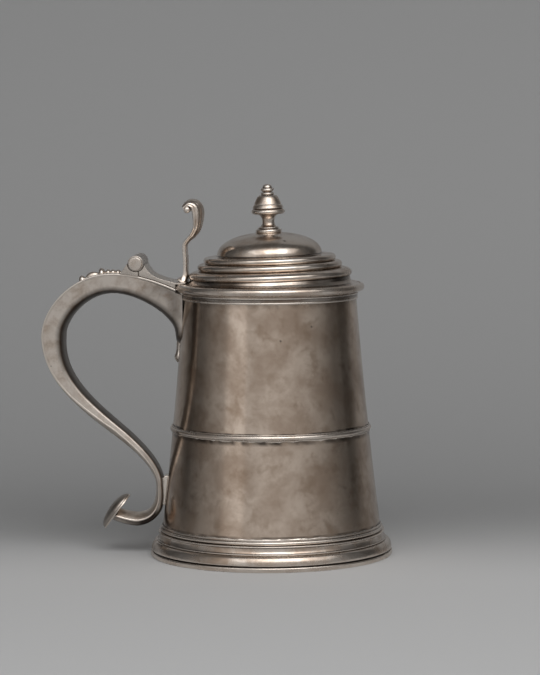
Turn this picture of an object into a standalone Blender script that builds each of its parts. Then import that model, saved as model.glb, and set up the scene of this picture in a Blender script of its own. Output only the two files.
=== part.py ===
"""A lidded silver tankard: a flaring body on a moulded foot, a hollow scroll handle and a hinged, domed lid.

Every piece is a separate solid. Sizes are in metres, +Z is up, and the body's axis is vertical at x = AXIS_X,
so that the origin is at the middle of the whole object's footprint. The handle points towards -X and the lid
turns on a pin along Y.
"""

import math

import bmesh
import bpy
import numpy as np
from mathutils import Matrix, Vector
from mathutils.geometry import interpolate_bezier

MM = 0.001

# Fits
SEAM = 0.25 * MM  # gap left at a soldered or seated joint
PIN_CLEARANCE = 0.08 * MM  # radial, between the hinge pin and the knuckles
SWING_GAP = 0.45 * MM  # between the lid's plate and the handle it swings away from
GAUGE = 0.8 * MM  # thickness of the silver sheet

# Body: its lip follows the lid's size and its lower end the foot's
LIP_HEIGHT = 145.5 * MM
BAND_HEIGHT = 70.6 * MM
SIDE_HOLLOW = 0.8 * MM  # how far the side bows in at the band from a straight line
FLOOR_RISE = 1.6 * MM  # how far the bottom sheet is domed up

# Foot, from the table upwards
FOOT_RADIUS = 67.0 * MM
FOOT_SPREAD = 6.7 * MM  # how much wider it is than the body that goes into it
PLINTH_HEIGHT = 2.6 * MM
OVOLO_HEIGHT = 4.9 * MM
OVOLO_SET_BACK = 3.7 * MM
HOLLOW_HEIGHT = 5.4 * MM  # the hollow member between two fillets
HOLLOW_PROUD = 1.2 * MM  # its upper fillet, from the seat on the body
HOLLOW_DEPTH = 0.6 * MM
ASTRAGAL_HEIGHT = 4.1 * MM
ASTRAGAL_PROUD = 0.7 * MM
FILLET_HEIGHT = 0.9 * MM
GROOVE_DEPTH = 0.7 * MM
FOOT_WALL = 2.4 * MM  # width of the flat ring that it stands on
BODY_END_HEIGHT = 6.5 * MM  # lower edge of the body, inside the foot

# Applied wires
BAND_WIDTH = 3.4 * MM
BAND_PROUD = 1.1 * MM
RIM_WIDTH = 3.7 * MM
RIM_PROUD = 0.9 * MM

# Lid, from its seat upwards
LID_RADIUS = 52.3 * MM
LID_OVERHANG = 4.7 * MM  # how much wider it is than the body's lip
LID_RIM_HEIGHT = 4.2 * MM
LID_RIM_WIDTH = 2.6 * MM
LID_RIM_LIFT = 0.35 * MM  # the wire hangs this far above the seat
CAVETTO_HEIGHT = 3.0 * MM
LID_OVOLO_SET_BACK = 6.3 * MM  # each of these set-backs is from the member below it
LID_OVOLO_HEIGHT = 4.8 * MM
LID_STEP_SET_BACK = 6.0 * MM
LID_STEP_HEIGHT = 3.85 * MM
LID_FILLET_SET_BACK = 3.0 * MM
LID_FILLET_HEIGHT = 3.6 * MM
COVE_WIDTH = 8.8 * MM
COVE_HEIGHT = 0.7 * MM
DOME_HEIGHT = 12.15 * MM
DOME_FULLNESS = 2.5  # exponent of the dome's outline; 2 is an ellipse
BEZEL_DEPTH = 4.0 * MM  # how far the ring under the lid reaches into the mouth
BEZEL_PLAY = 1.3 * MM  # room that the ring needs to swing out of the mouth

# Finial, from the dome upwards
FINIAL_BASE_RADIUS = 7.2 * MM
FINIAL_BASE_HEIGHT = 3.0 * MM
FINIAL_NECK_RADIUS = 3.2 * MM
FINIAL_NECK_HEIGHT = 5.4 * MM
FINIAL_BELL_RADIUS = 9.2 * MM
FINIAL_BELL_HEIGHT = 10.6 * MM
FINIAL_SHOULDER_RADIUS = 5.6 * MM
FINIAL_COLLAR_RADIUS = 3.8 * MM
FINIAL_COLLAR_HEIGHT = 2.4 * MM
FINIAL_KNOB_RADIUS = 3.5 * MM
FINIAL_KNOB_HEIGHT = 4.8 * MM
STUD_RADIUS = 1.6 * MM
STUD_PLAY = 0.15 * MM
WASHER_RADIUS = 4.6 * MM

# Hinge
HINGE_SET_BACK = 25.2 * MM  # from the lip to the pin, towards the handle
HINGE_RISE = 16.5 * MM  # from the lip up to the pin
HINGE_LENGTH = 26.4 * MM
KNUCKLE_COUNT = 5
KNUCKLE_RADIUS = 4.4 * MM
PIN_RADIUS = 1.5 * MM
CAP_RADIUS = 3.4 * MM
CAP_THICKNESS = 1.5 * MM
LEAF_LENGTH = 8.7 * MM  # from the pin to the leaf's edge
PLATE_WIDTH = 24.0 * MM
PLATE_THICKNESS = 2.4 * MM

# Handle: the flat back runs along this curve, from under the lid's edge round to the lower end
HANDLE_SLOPE = 27  # degrees, where it passes under the lid's edge
HANDLE_ROOT = 16.0 * MM  # how far the uncut handle runs on from there into the body
HANDLE_REACH = 125.8 * MM  # from the body's axis to the outermost point
HANDLE_REACH_DROP = 24.5 * MM  # from the lip down to that point
ARCH_RISE = 11.0 * MM  # from the lip up to the top of the arch
ARCH_OUT = 39.6 * MM  # from the lip out to the top of the arch
SWEEP_HEIGHT = 66.6 * MM  # where the lower sweep is steepest
SWEEP_OUT = 30.8 * MM  # distance from the body there
SWEEP_SLOPE = 37  # degrees
STRUT_HEIGHT = 38.0 * MM  # where the handle comes nearest to the body
STRUT_GAP = 1.3 * MM  # distance from the handle to the body there
CURL_DROP = 15.2 * MM  # from there down to the bottom of the curl
CURL_OUT = 12.3 * MM  # and out to it
CURL_TAIL = 12.0 * MM
CURL_LIFT = 2.7 * MM
CURL_SLOPE = 20  # degrees
ARCH_PULL = 0.35  # shares of a stretch over which the curve keeps its heading at a place
CROWN_PULL = 0.54
REACH_PULL = 0.46
STRUT_PULL = 0.35
CURL_PULL = 0.56
TAIL_PULL = 0.3
HANDLE_BACK_GAUGE = 1.1 * MM
HANDLE_WALL = 1.0 * MM
HANDLE_ROUNDNESS = 2.4  # exponent of the grip's section; 2 is an ellipse
HANDLE_WIDTH_LIP = 24.0 * MM
HANDLE_WIDTH_ARCH = 25.0 * MM
HANDLE_WIDTH_REACH = 22.0 * MM
HANDLE_WIDTH_SWEEP = 17.0 * MM
HANDLE_WIDTH_CURL = 14.0 * MM
HANDLE_DEPTH_ROOT = 21.0 * MM
HANDLE_DEPTH_LIP = 14.0 * MM
HANDLE_DEPTH_ARCH = 11.6 * MM
HANDLE_DEPTH_REACH = 12.6 * MM
HANDLE_DEPTH_SWEEP = 6.6 * MM
HANDLE_DEPTH_STRUT = 3.6 * MM
HANDLE_DEPTH_CURL = 5.3 * MM

# Pieces on the handle and the body
ORNAMENT_LENGTH = 24.5 * MM
ORNAMENT_RADIUS = 3.0 * MM
ORNAMENT_ASPECT = 1.25  # its width for its height
ORNAMENT_LOBES = 3.5
ORNAMENT_WAIST_RATIO = 0.62  # its size between the lobes
ORNAMENT_TAPER = 0.4
DROP_LENGTH = 15.0 * MM
DROP_WIDTH = 10.0 * MM
DROP_THICKNESS = 2.6 * MM
DROP_BULB_CENTRE_SHARE = 0.78  # share of its length
DROP_BULB_SHARE = 0.16
STRUT_LENGTH = 15.0 * MM
STRUT_BELOW = 10.8 * MM  # how far it reaches below the handle's nearest point
STRUT_WIDTH = 8.0 * MM
TERMINAL_LENGTH = 22.4 * MM
TERMINAL_WIDTH = 18.0 * MM
TERMINAL_BULGE = 4.4 * MM
TERMINAL_PLATE = 1.1 * MM
TERMINAL_INSET = 2.2 * MM  # how much of the handle's end is cut away for the shield
TERMINAL_TURN = math.radians(50)  # how far the shield leans back from lying flat

# Thumbpiece
THUMB_SET_BACK = 0.3 * MM  # from the lid's side to the stem
THUMB_STEM_HEIGHT = 19.5 * MM
THUMB_STEM_THICKNESS = 2.4 * MM
THUMB_STEM_WIDTH = 13.0 * MM
THUMB_FOOT_WIDTH = 18.0 * MM
THUMB_SCROLL_HEIGHT = 26.0 * MM
THUMB_SCROLL_WIDTH = 18.0 * MM
THUMB_SCROLL_THICKNESS = 6.0 * MM
THUMB_SCROLL_FORWARD = 8.8 * MM
THUMB_EYE_RADIUS = 2.3 * MM

# Fineness of the round pieces, and of the handle's stretches from knot to knot
ROUND_STEPS = 40
SMALL_STEPS = 20
HANDLE_STEPS = (6, 9, 9, 7, 7, 3)
ORNAMENT_STEPS = (24, 40, 9, 7, 7, 3)

# Places that follow from the sizes above
FOOT_HEIGHT = PLINTH_HEIGHT + OVOLO_HEIGHT + HOLLOW_HEIGHT + ASTRAGAL_HEIGHT
AXIS_X = (HANDLE_REACH - FOOT_RADIUS) / 2
LIP_RADIUS = LID_RADIUS - LID_OVERHANG
BASE_RADIUS = FOOT_RADIUS - FOOT_SPREAD
BAND_SHARE = (LIP_HEIGHT - BAND_HEIGHT) / (LIP_HEIGHT - FOOT_HEIGHT)
BAND_RADIUS = LIP_RADIUS + (BASE_RADIUS - LIP_RADIUS) * BAND_SHARE - SIDE_HOLLOW
LID_OVOLO_RADIUS = LID_RADIUS - LID_OVOLO_SET_BACK
LID_STEP_RADIUS = LID_OVOLO_RADIUS - LID_STEP_SET_BACK
LID_FILLET_RADIUS = LID_STEP_RADIUS - LID_FILLET_SET_BACK
DOME_RADIUS = LID_FILLET_RADIUS - COVE_WIDTH
SEAT_HEIGHT = LIP_HEIGHT + SEAM
FLANGE_HEIGHT = SEAT_HEIGHT + LID_RIM_LIFT + LID_RIM_HEIGHT
LID_STEP_BASE = FLANGE_HEIGHT + CAVETTO_HEIGHT + LID_OVOLO_HEIGHT
COVE_BASE = LID_STEP_BASE + LID_STEP_HEIGHT + LID_FILLET_HEIGHT
DOME_BASE = COVE_BASE + COVE_HEIGHT
DOME_TOP = DOME_BASE + DOME_HEIGHT
FLANGE_RADIUS = LID_RADIUS - LID_RIM_WIDTH - SEAM
CAVETTO_FOOT = (LID_OVOLO_RADIUS + FLANGE_RADIUS) / 2
PIVOT = Vector((-LIP_RADIUS - HINGE_SET_BACK, 0, LIP_HEIGHT + HINGE_RISE))
KNUCKLE_CLEAR = KNUCKLE_RADIUS + SEAM


def body_radius(height):
    """Outer radius of the body: a gentle curve through the lip, the band and the foot."""
    heights = (LIP_HEIGHT, BAND_HEIGHT, FOOT_HEIGHT)
    radii = (LIP_RADIUS, BAND_RADIUS, BASE_RADIUS)
    return float(np.polyval(np.polyfit(heights, radii, 2), height))


def arc(centre, radii, start, end, steps):
    """Points on an ellipse round centre, from one angle in degrees to another."""
    angles = np.radians(np.linspace(start, end, steps + 1))
    return [(centre[0] + radii[0] * math.cos(a), centre[1] + radii[1] * math.sin(a)) for a in angles]


def bead(top, bottom, proud, steps):
    """Half-round between two points of an outline that runs downwards."""
    middle = ((top[0] + bottom[0]) / 2, (top[1] + bottom[1]) / 2)
    along = Vector((bottom[0] - middle[0], bottom[1] - middle[1]))
    out = Vector((-along.y, along.x)).normalized() * proud
    angles = np.linspace(0, math.pi, steps + 1)
    points = []
    for a in angles:
        shift = out * math.sin(a) - along * math.cos(a)
        points.append((middle[0] + shift.x, middle[1] + shift.y))
    return points


def silver(name, colour, roughness):
    """A piece's own metal."""
    material = bpy.data.materials.new(name + "_silver")
    material.use_nodes = True
    shader = material.node_tree.nodes["Principled BSDF"]
    shader.inputs["Base Color"].default_value = (*colour, 1)
    shader.inputs["Metallic"].default_value = 1
    shader.inputs["Roughness"].default_value = roughness
    return material


SATIN = ((0.50, 0.46, 0.42), 0.34)
POLISHED = ((0.60, 0.56, 0.51), 0.22)
TARNISHED = ((0.38, 0.34, 0.31), 0.42)


class Workshop:
    """The collections and empties that the pieces hang on."""

    def __init__(self):
        for obj in list(bpy.data.objects):
            bpy.data.objects.remove(obj)
        self.parts = bpy.data.collections.new("silver_tankard")
        self.cutters = bpy.data.collections.new("silver_tankard_cutters")
        self.cutters.hide_render = True
        for collection in (self.parts, self.cutters):
            bpy.context.scene.collection.children.link(collection)
        self.axis = bpy.data.objects.new("tankard_axis", None)
        self.axis.location = (AXIS_X, 0, 0)
        self.hinge = bpy.data.objects.new("lid_hinge_axis", None)
        self.hinge.parent = self.axis
        self.hinge.location = PIVOT
        for empty in (self.axis, self.hinge):
            self.parts.objects.link(empty)

    def fixed(self, obj, metal):
        """Adds a piece of the mug itself."""
        obj.parent = self.axis
        self.finish(obj, metal)

    def moving(self, obj, metal):
        """Adds a piece of the lid, which hangs on the hinge's axis."""
        obj.parent = self.hinge
        obj.matrix_parent_inverse = Matrix.Translation(-PIVOT)
        self.finish(obj, metal)

    def finish(self, obj, metal):
        self.parts.objects.link(obj)
        obj.data.materials.clear()
        obj.data.materials.append(silver(obj.name, *metal))

    def cutter(self, obj):
        obj.parent = self.axis
        obj.hide_render = True
        obj.display_type = "WIRE"
        self.cutters.objects.link(obj)
        return obj


def smooth(mesh):
    mesh.shade_smooth()
    mesh.set_sharp_from_angle(angle=math.radians(38))


def solid(name, form):
    """An object from a bmesh, with its faces turned outwards."""
    bmesh.ops.recalc_face_normals(form, faces=form.faces)
    mesh = bpy.data.meshes.new(name)
    form.to_mesh(mesh)
    form.free()
    smooth(mesh)
    return bpy.data.objects.new(name, mesh)


def evaluated(obj):
    """The mesh that an object's modifiers make, for an object in no collection yet."""
    bpy.context.scene.collection.objects.link(obj)
    graph = bpy.context.evaluated_depsgraph_get()
    mesh = bpy.data.meshes.new_from_object(obj.evaluated_get(graph))
    bpy.context.scene.collection.objects.unlink(obj)
    return mesh


def turned(name, outline, steps=ROUND_STEPS):
    """A closed outline of (radius, height) points, down its outer side first, turned about Z."""
    profile = bpy.data.meshes.new(name)
    count = len(outline)
    edges = [(i, (i + 1) % count) for i in range(count)]
    profile.from_pydata([(r, 0, z) for r, z in outline], edges, [])
    obj = bpy.data.objects.new(name, profile)
    screw = obj.modifiers.new("Turn", "SCREW")
    screw.steps = steps
    screw.render_steps = steps
    screw.use_merge_vertices = True
    screw.merge_threshold = 0.00001
    mesh = evaluated(obj)
    obj.modifiers.clear()
    obj.data = mesh
    mesh.name = name
    smooth(mesh)
    return obj


def turned_solid(name, outline, steps=ROUND_STEPS):
    """As turned, for an outline from a point on the axis down to another one."""
    obj = turned(name, outline, steps)
    form = bmesh.new()
    form.from_mesh(obj.data)
    bmesh.ops.remove_doubles(form, verts=form.verts, dist=0.000002)
    loose = [edge for edge in form.edges if not edge.link_faces]
    bmesh.ops.delete(form, geom=loose, context="EDGES")
    form.to_mesh(obj.data)
    form.free()
    smooth(obj.data)
    return obj


def lay_along_y(obj, place):
    """Turns a piece made about Z so that it lies on the hinge's line."""
    turn = Matrix.Rotation(math.radians(90), 4, "X")
    obj.data.transform(Matrix.Translation(place) @ turn)


def loft(name, rings):
    """A skin over rings of equal numbers of points, with a cap at each end."""
    form = bmesh.new()
    loops = [[form.verts.new(point) for point in ring] for ring in rings]
    for first, second in zip(loops, loops[1:]):
        for i in range(len(first)):
            j = (i + 1) % len(first)
            form.faces.new((first[i], first[j], second[j], second[i]))
    form.faces.new(loops[0])
    form.faces.new(loops[-1])
    return solid(name, form)


def plate(name, outline, width):
    """An outline of (x, z) points as a slab of this width across Y, in the middle."""
    curve = bpy.data.curves.new(name, "CURVE")
    curve.dimensions = "2D"
    curve.fill_mode = "BOTH"
    curve.extrude = width / 2
    spline = curve.splines.new("POLY")
    spline.points.add(len(outline) - 1)
    for point, (x, z) in zip(spline.points, outline):
        point.co = (x, z, 0, 1)
    spline.use_cyclic_u = True
    obj = bpy.data.objects.new(name, curve)
    mesh = evaluated(obj)
    bpy.data.objects.remove(obj)
    form = bmesh.new()
    form.from_mesh(mesh)
    bmesh.ops.remove_doubles(form, verts=form.verts, dist=0.000002)
    bmesh.ops.transform(form, matrix=Matrix.Rotation(math.radians(90), 4, "X"), verts=form.verts)
    return solid(name, form)


def boolean(obj, other, operation):
    change = obj.modifiers.new(operation.title(), "BOOLEAN")
    change.operation = operation
    change.object = other


# The handle's curve and sections


class Station:
    """One place along the handle's flat back: its point, directions, width and depth."""

    def __init__(self, point, along, width, depth):
        self.point = point
        self.along = along
        self.inward = Vector((-along.z, 0, along.x))
        self.width = width
        self.depth = depth

    def at(self, depth, across):
        return self.point + self.inward * depth + Vector((0, across, 0))


class Knot:
    """A place that the handle's curve goes through, its heading in degrees and the curve's pull each way."""

    def __init__(self, point, heading, before, after, width, depth):
        self.point = point
        turn = math.radians(heading)
        self.along = Vector((math.cos(turn), 0, math.sin(turn)))
        self.before = point - self.along * before
        self.after = point + self.along * after
        self.width = width
        self.depth = depth


def handle_knots():
    """The handle's back from under the lid's edge, over the arch, down the sweep and round the curl."""
    edge = Vector((-LID_RADIUS - SWING_GAP, 0, SEAT_HEIGHT + LID_RIM_LIFT - SWING_GAP))
    arch = Vector((-LIP_RADIUS - ARCH_OUT, 0, LIP_HEIGHT + ARCH_RISE))
    reach = Vector((-HANDLE_REACH, 0, LIP_HEIGHT - HANDLE_REACH_DROP))
    sweep = Vector((-body_radius(SWEEP_HEIGHT) - SWEEP_OUT, 0, SWEEP_HEIGHT))
    strut_x = -body_radius(STRUT_HEIGHT) - STRUT_GAP - HANDLE_DEPTH_STRUT
    strut = Vector((strut_x, 0, STRUT_HEIGHT))
    curl = strut + Vector((-CURL_OUT, 0, -CURL_DROP))
    tail = curl + Vector((-CURL_TAIL, 0, CURL_LIFT))
    rise = (edge.x - arch.x) * ARCH_PULL
    over = (arch.x - reach.x) * CROWN_PULL
    down = (arch.z - reach.z) * REACH_PULL
    sweep_in = (reach.z - sweep.z) * REACH_PULL
    sweep_out = (sweep.z - strut.z) * STRUT_PULL
    turn = CURL_DROP * CURL_PULL
    tip = CURL_TAIL * TAIL_PULL
    return [
        Knot(edge, 180 - HANDLE_SLOPE, 0, rise, HANDLE_WIDTH_LIP, HANDLE_DEPTH_LIP),
        Knot(arch, 180, rise, over, HANDLE_WIDTH_ARCH, HANDLE_DEPTH_ARCH),
        Knot(reach, 270, down, sweep_in, HANDLE_WIDTH_REACH, HANDLE_DEPTH_REACH),
        Knot(sweep, 360 - SWEEP_SLOPE, sweep_in, sweep_out, HANDLE_WIDTH_SWEEP, HANDLE_DEPTH_SWEEP),
        Knot(strut, 270, sweep_out, turn, HANDLE_WIDTH_CURL, HANDLE_DEPTH_STRUT),
        Knot(curl, 180, turn, tip, HANDLE_WIDTH_CURL, HANDLE_DEPTH_CURL),
        Knot(tail, 180 - CURL_SLOPE, tip, 0, HANDLE_WIDTH_CURL, HANDLE_DEPTH_CURL),
    ]


def handle_stations(steps=HANDLE_STEPS):
    """Stations along the whole back, with one more inside the body, from which the end is cut to fit."""
    knots = handle_knots()
    first = knots[0]
    root = first.point - first.along * HANDLE_ROOT
    stations = [
        Station(root, first.along, first.width, HANDLE_DEPTH_ROOT),
        Station(first.point, first.along, first.width, first.depth),
    ]
    for start, end, count in zip(knots, knots[1:], steps):
        points = interpolate_bezier(start.point, start.after, end.before, end.point, count + 1)
        for i in range(1, count):
            along = (points[i + 1] - points[i - 1]).normalized()
            share = i / count
            width = start.width + (end.width - start.width) * share
            depth = start.depth + (end.depth - start.depth) * share
            stations.append(Station(points[i], along, width, depth))
        stations.append(Station(end.point, end.along, end.width, end.depth))
    return stations


def back_height(x, stations):
    """Height of the handle's flat back above this x, between the lip and the outermost point."""
    along = [(s.point.x, s.point.z) for s in stations]
    lowest = min(range(len(along)), key=lambda i: along[i][0])
    upper = along[: lowest + 1][::-1]
    return float(np.interp(x, [p[0] for p in upper], [p[1] for p in upper]))


def grip_half_width(station, depth, inset=0.0):
    """Half the handle's width at a depth below its back, for the outside or a skin inset from it."""
    share = min(depth / (station.depth - inset), 1)
    return (station.width / 2 - inset) * (1 - share**HANDLE_ROUNDNESS) ** (1 / HANDLE_ROUNDNESS)


def grip_side(station, inset, steps):
    """One side of the grip's section, from its open edge to the middle: (depth, half width)."""
    top = HANDLE_BACK_GAUGE + SEAM
    bottom = station.depth - inset
    angles = np.linspace(0, math.pi / 2, steps + 1)
    depths = [top + (bottom - top) * math.sin(a) for a in angles]
    return [(depth, grip_half_width(station, depth, inset)) for depth in depths]


def make_handle(shop, stations, clear_of_body, clear_of_rim, clear_of_shield):
    """The hollow handle: a formed channel for the grip and a flat strip for the back."""
    channel_rings = []
    back_rings = []
    for station in stations:
        outer = grip_side(station, 0.0, 5)
        inner = grip_side(station, HANDLE_WALL, 4)
        section = [(d, -w) for d, w in outer]
        section += [(d, w) for d, w in outer[-2::-1]]
        section += [(d, w) for d, w in inner]
        section += [(d, -w) for d, w in inner[-2::-1]]
        channel_rings.append([station.at(d, w) for d, w in section])
        half = station.width / 2
        corners = ((0, -half), (0, half), (HANDLE_BACK_GAUGE, half), (HANDLE_BACK_GAUGE, -half))
        back_rings.append([station.at(d, w) for d, w in corners])
    channel = loft("handle_channel", channel_rings)
    boolean(channel, clear_of_body, "DIFFERENCE")
    boolean(channel, clear_of_shield, "DIFFERENCE")
    shop.fixed(channel, SATIN)
    back = loft("handle_back", back_rings)
    boolean(back, clear_of_rim, "DIFFERENCE")
    boolean(back, clear_of_shield, "DIFFERENCE")
    shop.fixed(back, SATIN)


def shield_frame(stations):
    """Middle of the shield's seat at the handle's lower end, the way it faces and the way up along it."""
    tail = stations[-1]
    centre = tail.at(tail.depth / 4, 0) - tail.along * TERMINAL_INSET
    facing = Vector((-math.sin(TERMINAL_TURN), 0, math.cos(TERMINAL_TURN)))
    upward = Vector((math.cos(TERMINAL_TURN), 0, math.sin(TERMINAL_TURN)))
    return centre, facing, upward


def make_clearances(shop, stations):
    """Cutters: the body with its rim, a round hole as wide as the rim, and all beyond the shield's seat."""
    top = LIP_HEIGHT + SEAM
    heights = np.linspace(LIP_HEIGHT - RIM_WIDTH - SEAM, 0, 9)
    rim = LIP_RADIUS + SEAM + RIM_PROUD + SEAM
    outline = [(0, top), (rim, top), (rim, heights[0])]
    outline += [(body_radius(z) + SEAM, z) for z in heights]
    outline.append((0, 0))
    body = turned_solid("clear_of_body", outline)
    low = LIP_HEIGHT - HANDLE_ROOT
    hole = turned_solid("clear_of_rim", [(0, top), (rim, top), (rim, low), (0, low)])
    centre, facing, upward = shield_frame(stations)
    ends = [centre + upward * TERMINAL_LENGTH, centre - upward * TERMINAL_LENGTH]
    ends += [end + facing * TERMINAL_LENGTH for end in ends[::-1]]
    beyond = plate("clear_of_shield", [(end.x, end.z) for end in ends], 2 * TERMINAL_WIDTH)
    return shop.cutter(body), shop.cutter(hole), shop.cutter(beyond)


# Body pieces


def make_body(shop):
    heights = np.linspace(LIP_HEIGHT, BODY_END_HEIGHT, 8)
    outer = [(body_radius(z), z) for z in heights]
    inner = [(body_radius(z) - GAUGE, z) for z in heights[::-1]]
    shop.fixed(turned("body_wall", outer + inner), TARNISHED)

    top = BODY_END_HEIGHT + GAUGE
    edge = body_radius(BODY_END_HEIGHT + GAUGE) - GAUGE - SEAM
    dome = [0.0, 0.35, 0.7, 1.0]
    upper = [(edge * s, top + FLOOR_RISE * (1 - s * s)) for s in dome]
    lower = [(edge * s, top - GAUGE + FLOOR_RISE * (1 - s * s)) for s in dome[::-1]]
    shop.fixed(turned_solid("body_floor", upper + lower), TARNISHED)


def make_foot(shop):
    """The moulded base: an astragal against the body, a hollow, an ovolo and a plinth, open underneath."""

    def seat(height):
        return body_radius(height) + SEAM

    ovolo_top = PLINTH_HEIGHT + OVOLO_HEIGHT
    hollow_top = ovolo_top + HOLLOW_HEIGHT
    groove = GROOVE_DEPTH / 2
    ovolo_radius = FOOT_RADIUS - OVOLO_SET_BACK

    bead_top = FOOT_HEIGHT - FILLET_HEIGHT - groove
    bead_low = hollow_top + groove
    outline = [(seat(FOOT_HEIGHT), FOOT_HEIGHT), (seat(FOOT_HEIGHT) + groove, FOOT_HEIGHT - groove / 2)]
    outline.append((seat(FOOT_HEIGHT) + groove, FOOT_HEIGHT - FILLET_HEIGHT))
    bead_ends = [(seat(height) + groove, height) for height in (bead_top, bead_low)]
    outline += bead(*bead_ends, ASTRAGAL_PROUD, 5)

    lip = seat(hollow_top) + HOLLOW_PROUD
    low_fillet = ovolo_top + FILLET_HEIGHT
    outline += [(seat(hollow_top) + groove, hollow_top), (lip, hollow_top - groove / 2)]
    outline.append((lip, hollow_top - FILLET_HEIGHT))
    hollow_drop = hollow_top - FILLET_HEIGHT - low_fillet
    deepest = lip - HOLLOW_DEPTH
    spread = ovolo_radius - groove - deepest
    outline += arc((deepest + spread, low_fillet + hollow_drop), (spread, hollow_drop), 180, 270, 4)
    outline += [(ovolo_radius - groove, ovolo_top + groove), (ovolo_radius - GROOVE_DEPTH, ovolo_top)]

    drop = OVOLO_HEIGHT - groove
    outline += arc((ovolo_radius, ovolo_top - drop), (OVOLO_SET_BACK, drop), 90, 0, 5)
    outline.append((FOOT_RADIUS - GROOVE_DEPTH, PLINTH_HEIGHT))
    outline += [(FOOT_RADIUS - groove, PLINTH_HEIGHT), (FOOT_RADIUS, PLINTH_HEIGHT - groove)]
    outline += [(FOOT_RADIUS, groove), (FOOT_RADIUS - groove, 0)]
    outline += [(FOOT_RADIUS - FOOT_WALL, 0), (FOOT_RADIUS - FOOT_WALL, PLINTH_HEIGHT)]
    outline += [(seat(ovolo_top), ovolo_top), (seat(hollow_top), hollow_top)]
    shop.fixed(turned("foot_moulding", outline), POLISHED)


def make_wires(shop):
    """The half-round wire round the middle and the moulded wire at the lip."""
    high = BAND_HEIGHT + BAND_WIDTH / 2
    low = BAND_HEIGHT - BAND_WIDTH / 2
    step = BAND_PROUD / 3
    fillet = BAND_WIDTH / 6
    outline = [(body_radius(high) + SEAM, high), (body_radius(high) + SEAM + step, high)]
    outline += bead(
        (body_radius(high) + SEAM + step, high - fillet),
        (body_radius(low) + SEAM + step, low + fillet),
        BAND_PROUD - step,
        6,
    )
    outline += [(body_radius(low) + SEAM + step, low), (body_radius(low) + SEAM, low)]
    shop.fixed(turned("mid_band", outline), POLISHED)

    high = LIP_HEIGHT - SEAM
    low = LIP_HEIGHT - RIM_WIDTH
    face = LIP_RADIUS + SEAM + RIM_PROUD
    inset = RIM_PROUD / 3
    fillet = RIM_WIDTH / 5
    bead_top = low + 1.6 * fillet
    outline = [(body_radius(high) + SEAM, high), (face, high), (face, high - fillet)]
    outline += [(face - inset, high - fillet), (face - inset, bead_top)]
    outline += bead((face - inset, bead_top), (face - inset, low), inset, 4)
    outline.append((body_radius(low) + SEAM, low))
    shop.fixed(turned("rim_moulding", outline), POLISHED)


# Pieces on the handle


def make_ornament(shop):
    """A half-round drop of beads and a baluster, lying along the handle's back behind the hinge."""
    start = PIVOT.x - LEAF_LENGTH - SEAM
    path = [station for station in handle_stations(ORNAMENT_STEPS) if station.point.x < start]
    travelled = [0.0]
    for first, second in zip(path, path[1:]):
        travelled.append(travelled[-1] + (second.point - first.point).length)
    places = np.linspace(0, ORNAMENT_LENGTH, 22)
    rings = []
    for distance in places:
        share = distance / ORNAMENT_LENGTH
        lobe = abs(math.cos(share * math.pi * ORNAMENT_LOBES)) ** 0.7
        beads = ORNAMENT_WAIST_RATIO + (1 - ORNAMENT_WAIST_RATIO) * lobe
        taper = (1 - ORNAMENT_TAPER * share) * min(1.0, 0.4 + 9 * share, 0.4 + 12 * (1 - share))
        radius = ORNAMENT_RADIUS * beads * taper
        index = int(np.clip(np.searchsorted(travelled, distance), 1, len(path) - 1))
        before, after = path[index - 1], path[index]
        between = (distance - travelled[index - 1]) / (travelled[index] - travelled[index - 1])
        point = before.point.lerp(after.point, between)
        along = before.along.lerp(after.along, between).normalized()
        spot = Station(point, along, 0, 0)
        angles = np.radians(np.linspace(0, 180, 9))
        half = radius * ORNAMENT_ASPECT
        rings.append([spot.at(-SEAM - radius * math.sin(a), half * math.cos(a)) for a in angles])
    shop.fixed(loft("handle_ornament", rings), POLISHED)


def make_body_drop(shop, stations):
    """The applied drop that runs down the body from the handle's upper joint and ends in a bulb."""
    root, edge = [s.at(s.depth, 0) for s in stations[:2]]
    under = [root.lerp(edge, share) for share in np.linspace(0, 1, 60)]
    joint = next(point.z for point in under if -point.x > body_radius(point.z) + SEAM)
    rings = []
    for share in np.linspace(0, 1, 13):
        height = joint - 2 * SEAM - DROP_LENGTH * share
        bulb = math.exp(-(((share - DROP_BULB_CENTRE_SHARE) / DROP_BULB_SHARE) ** 2))
        close = math.sqrt(max(1 - share**8, 0.02))
        width = DROP_WIDTH * (0.95 - 0.55 * share + 0.28 * bulb) * close
        thick = DROP_THICKNESS * (0.75 - 0.1 * share + 0.4 * bulb) * min(close, 0.3 + 5 * share)
        radius = body_radius(height) + SEAM
        ring = []
        for a in np.radians(np.linspace(0, 180, 9)):
            across = width / 2 * math.cos(a)
            ring.append(Vector((-math.sqrt(radius**2 - across**2) - thick * math.sin(a), across, height)))
        rings.append(ring)
    shop.fixed(loft("body_drop", rings), SATIN)


def make_strut(shop, stations, clear_of_body):
    """The pad between the handle's lower sweep and the body."""
    low = STRUT_HEIGHT - STRUT_BELOW
    high = low + STRUT_LENGTH
    sweep = 1 + sum(HANDLE_STEPS[:3])
    curl = sweep + sum(HANDLE_STEPS[3:5])
    grip = [station.at(station.depth + SEAM, 0) for station in stations[curl:sweep:-1]]
    heights = [point.z for point in grip]
    distances = [point.x for point in grip]
    left = [(float(np.interp(z, heights, distances)), z) for z in np.linspace(high, low, 7)]
    right = [(-body_radius(z) + GAUGE, z) for z in np.linspace(low, high, 5)]
    piece = plate("lower_strut", left + right, STRUT_WIDTH)
    boolean(piece, clear_of_body, "DIFFERENCE")
    shop.fixed(piece, SATIN)


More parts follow.
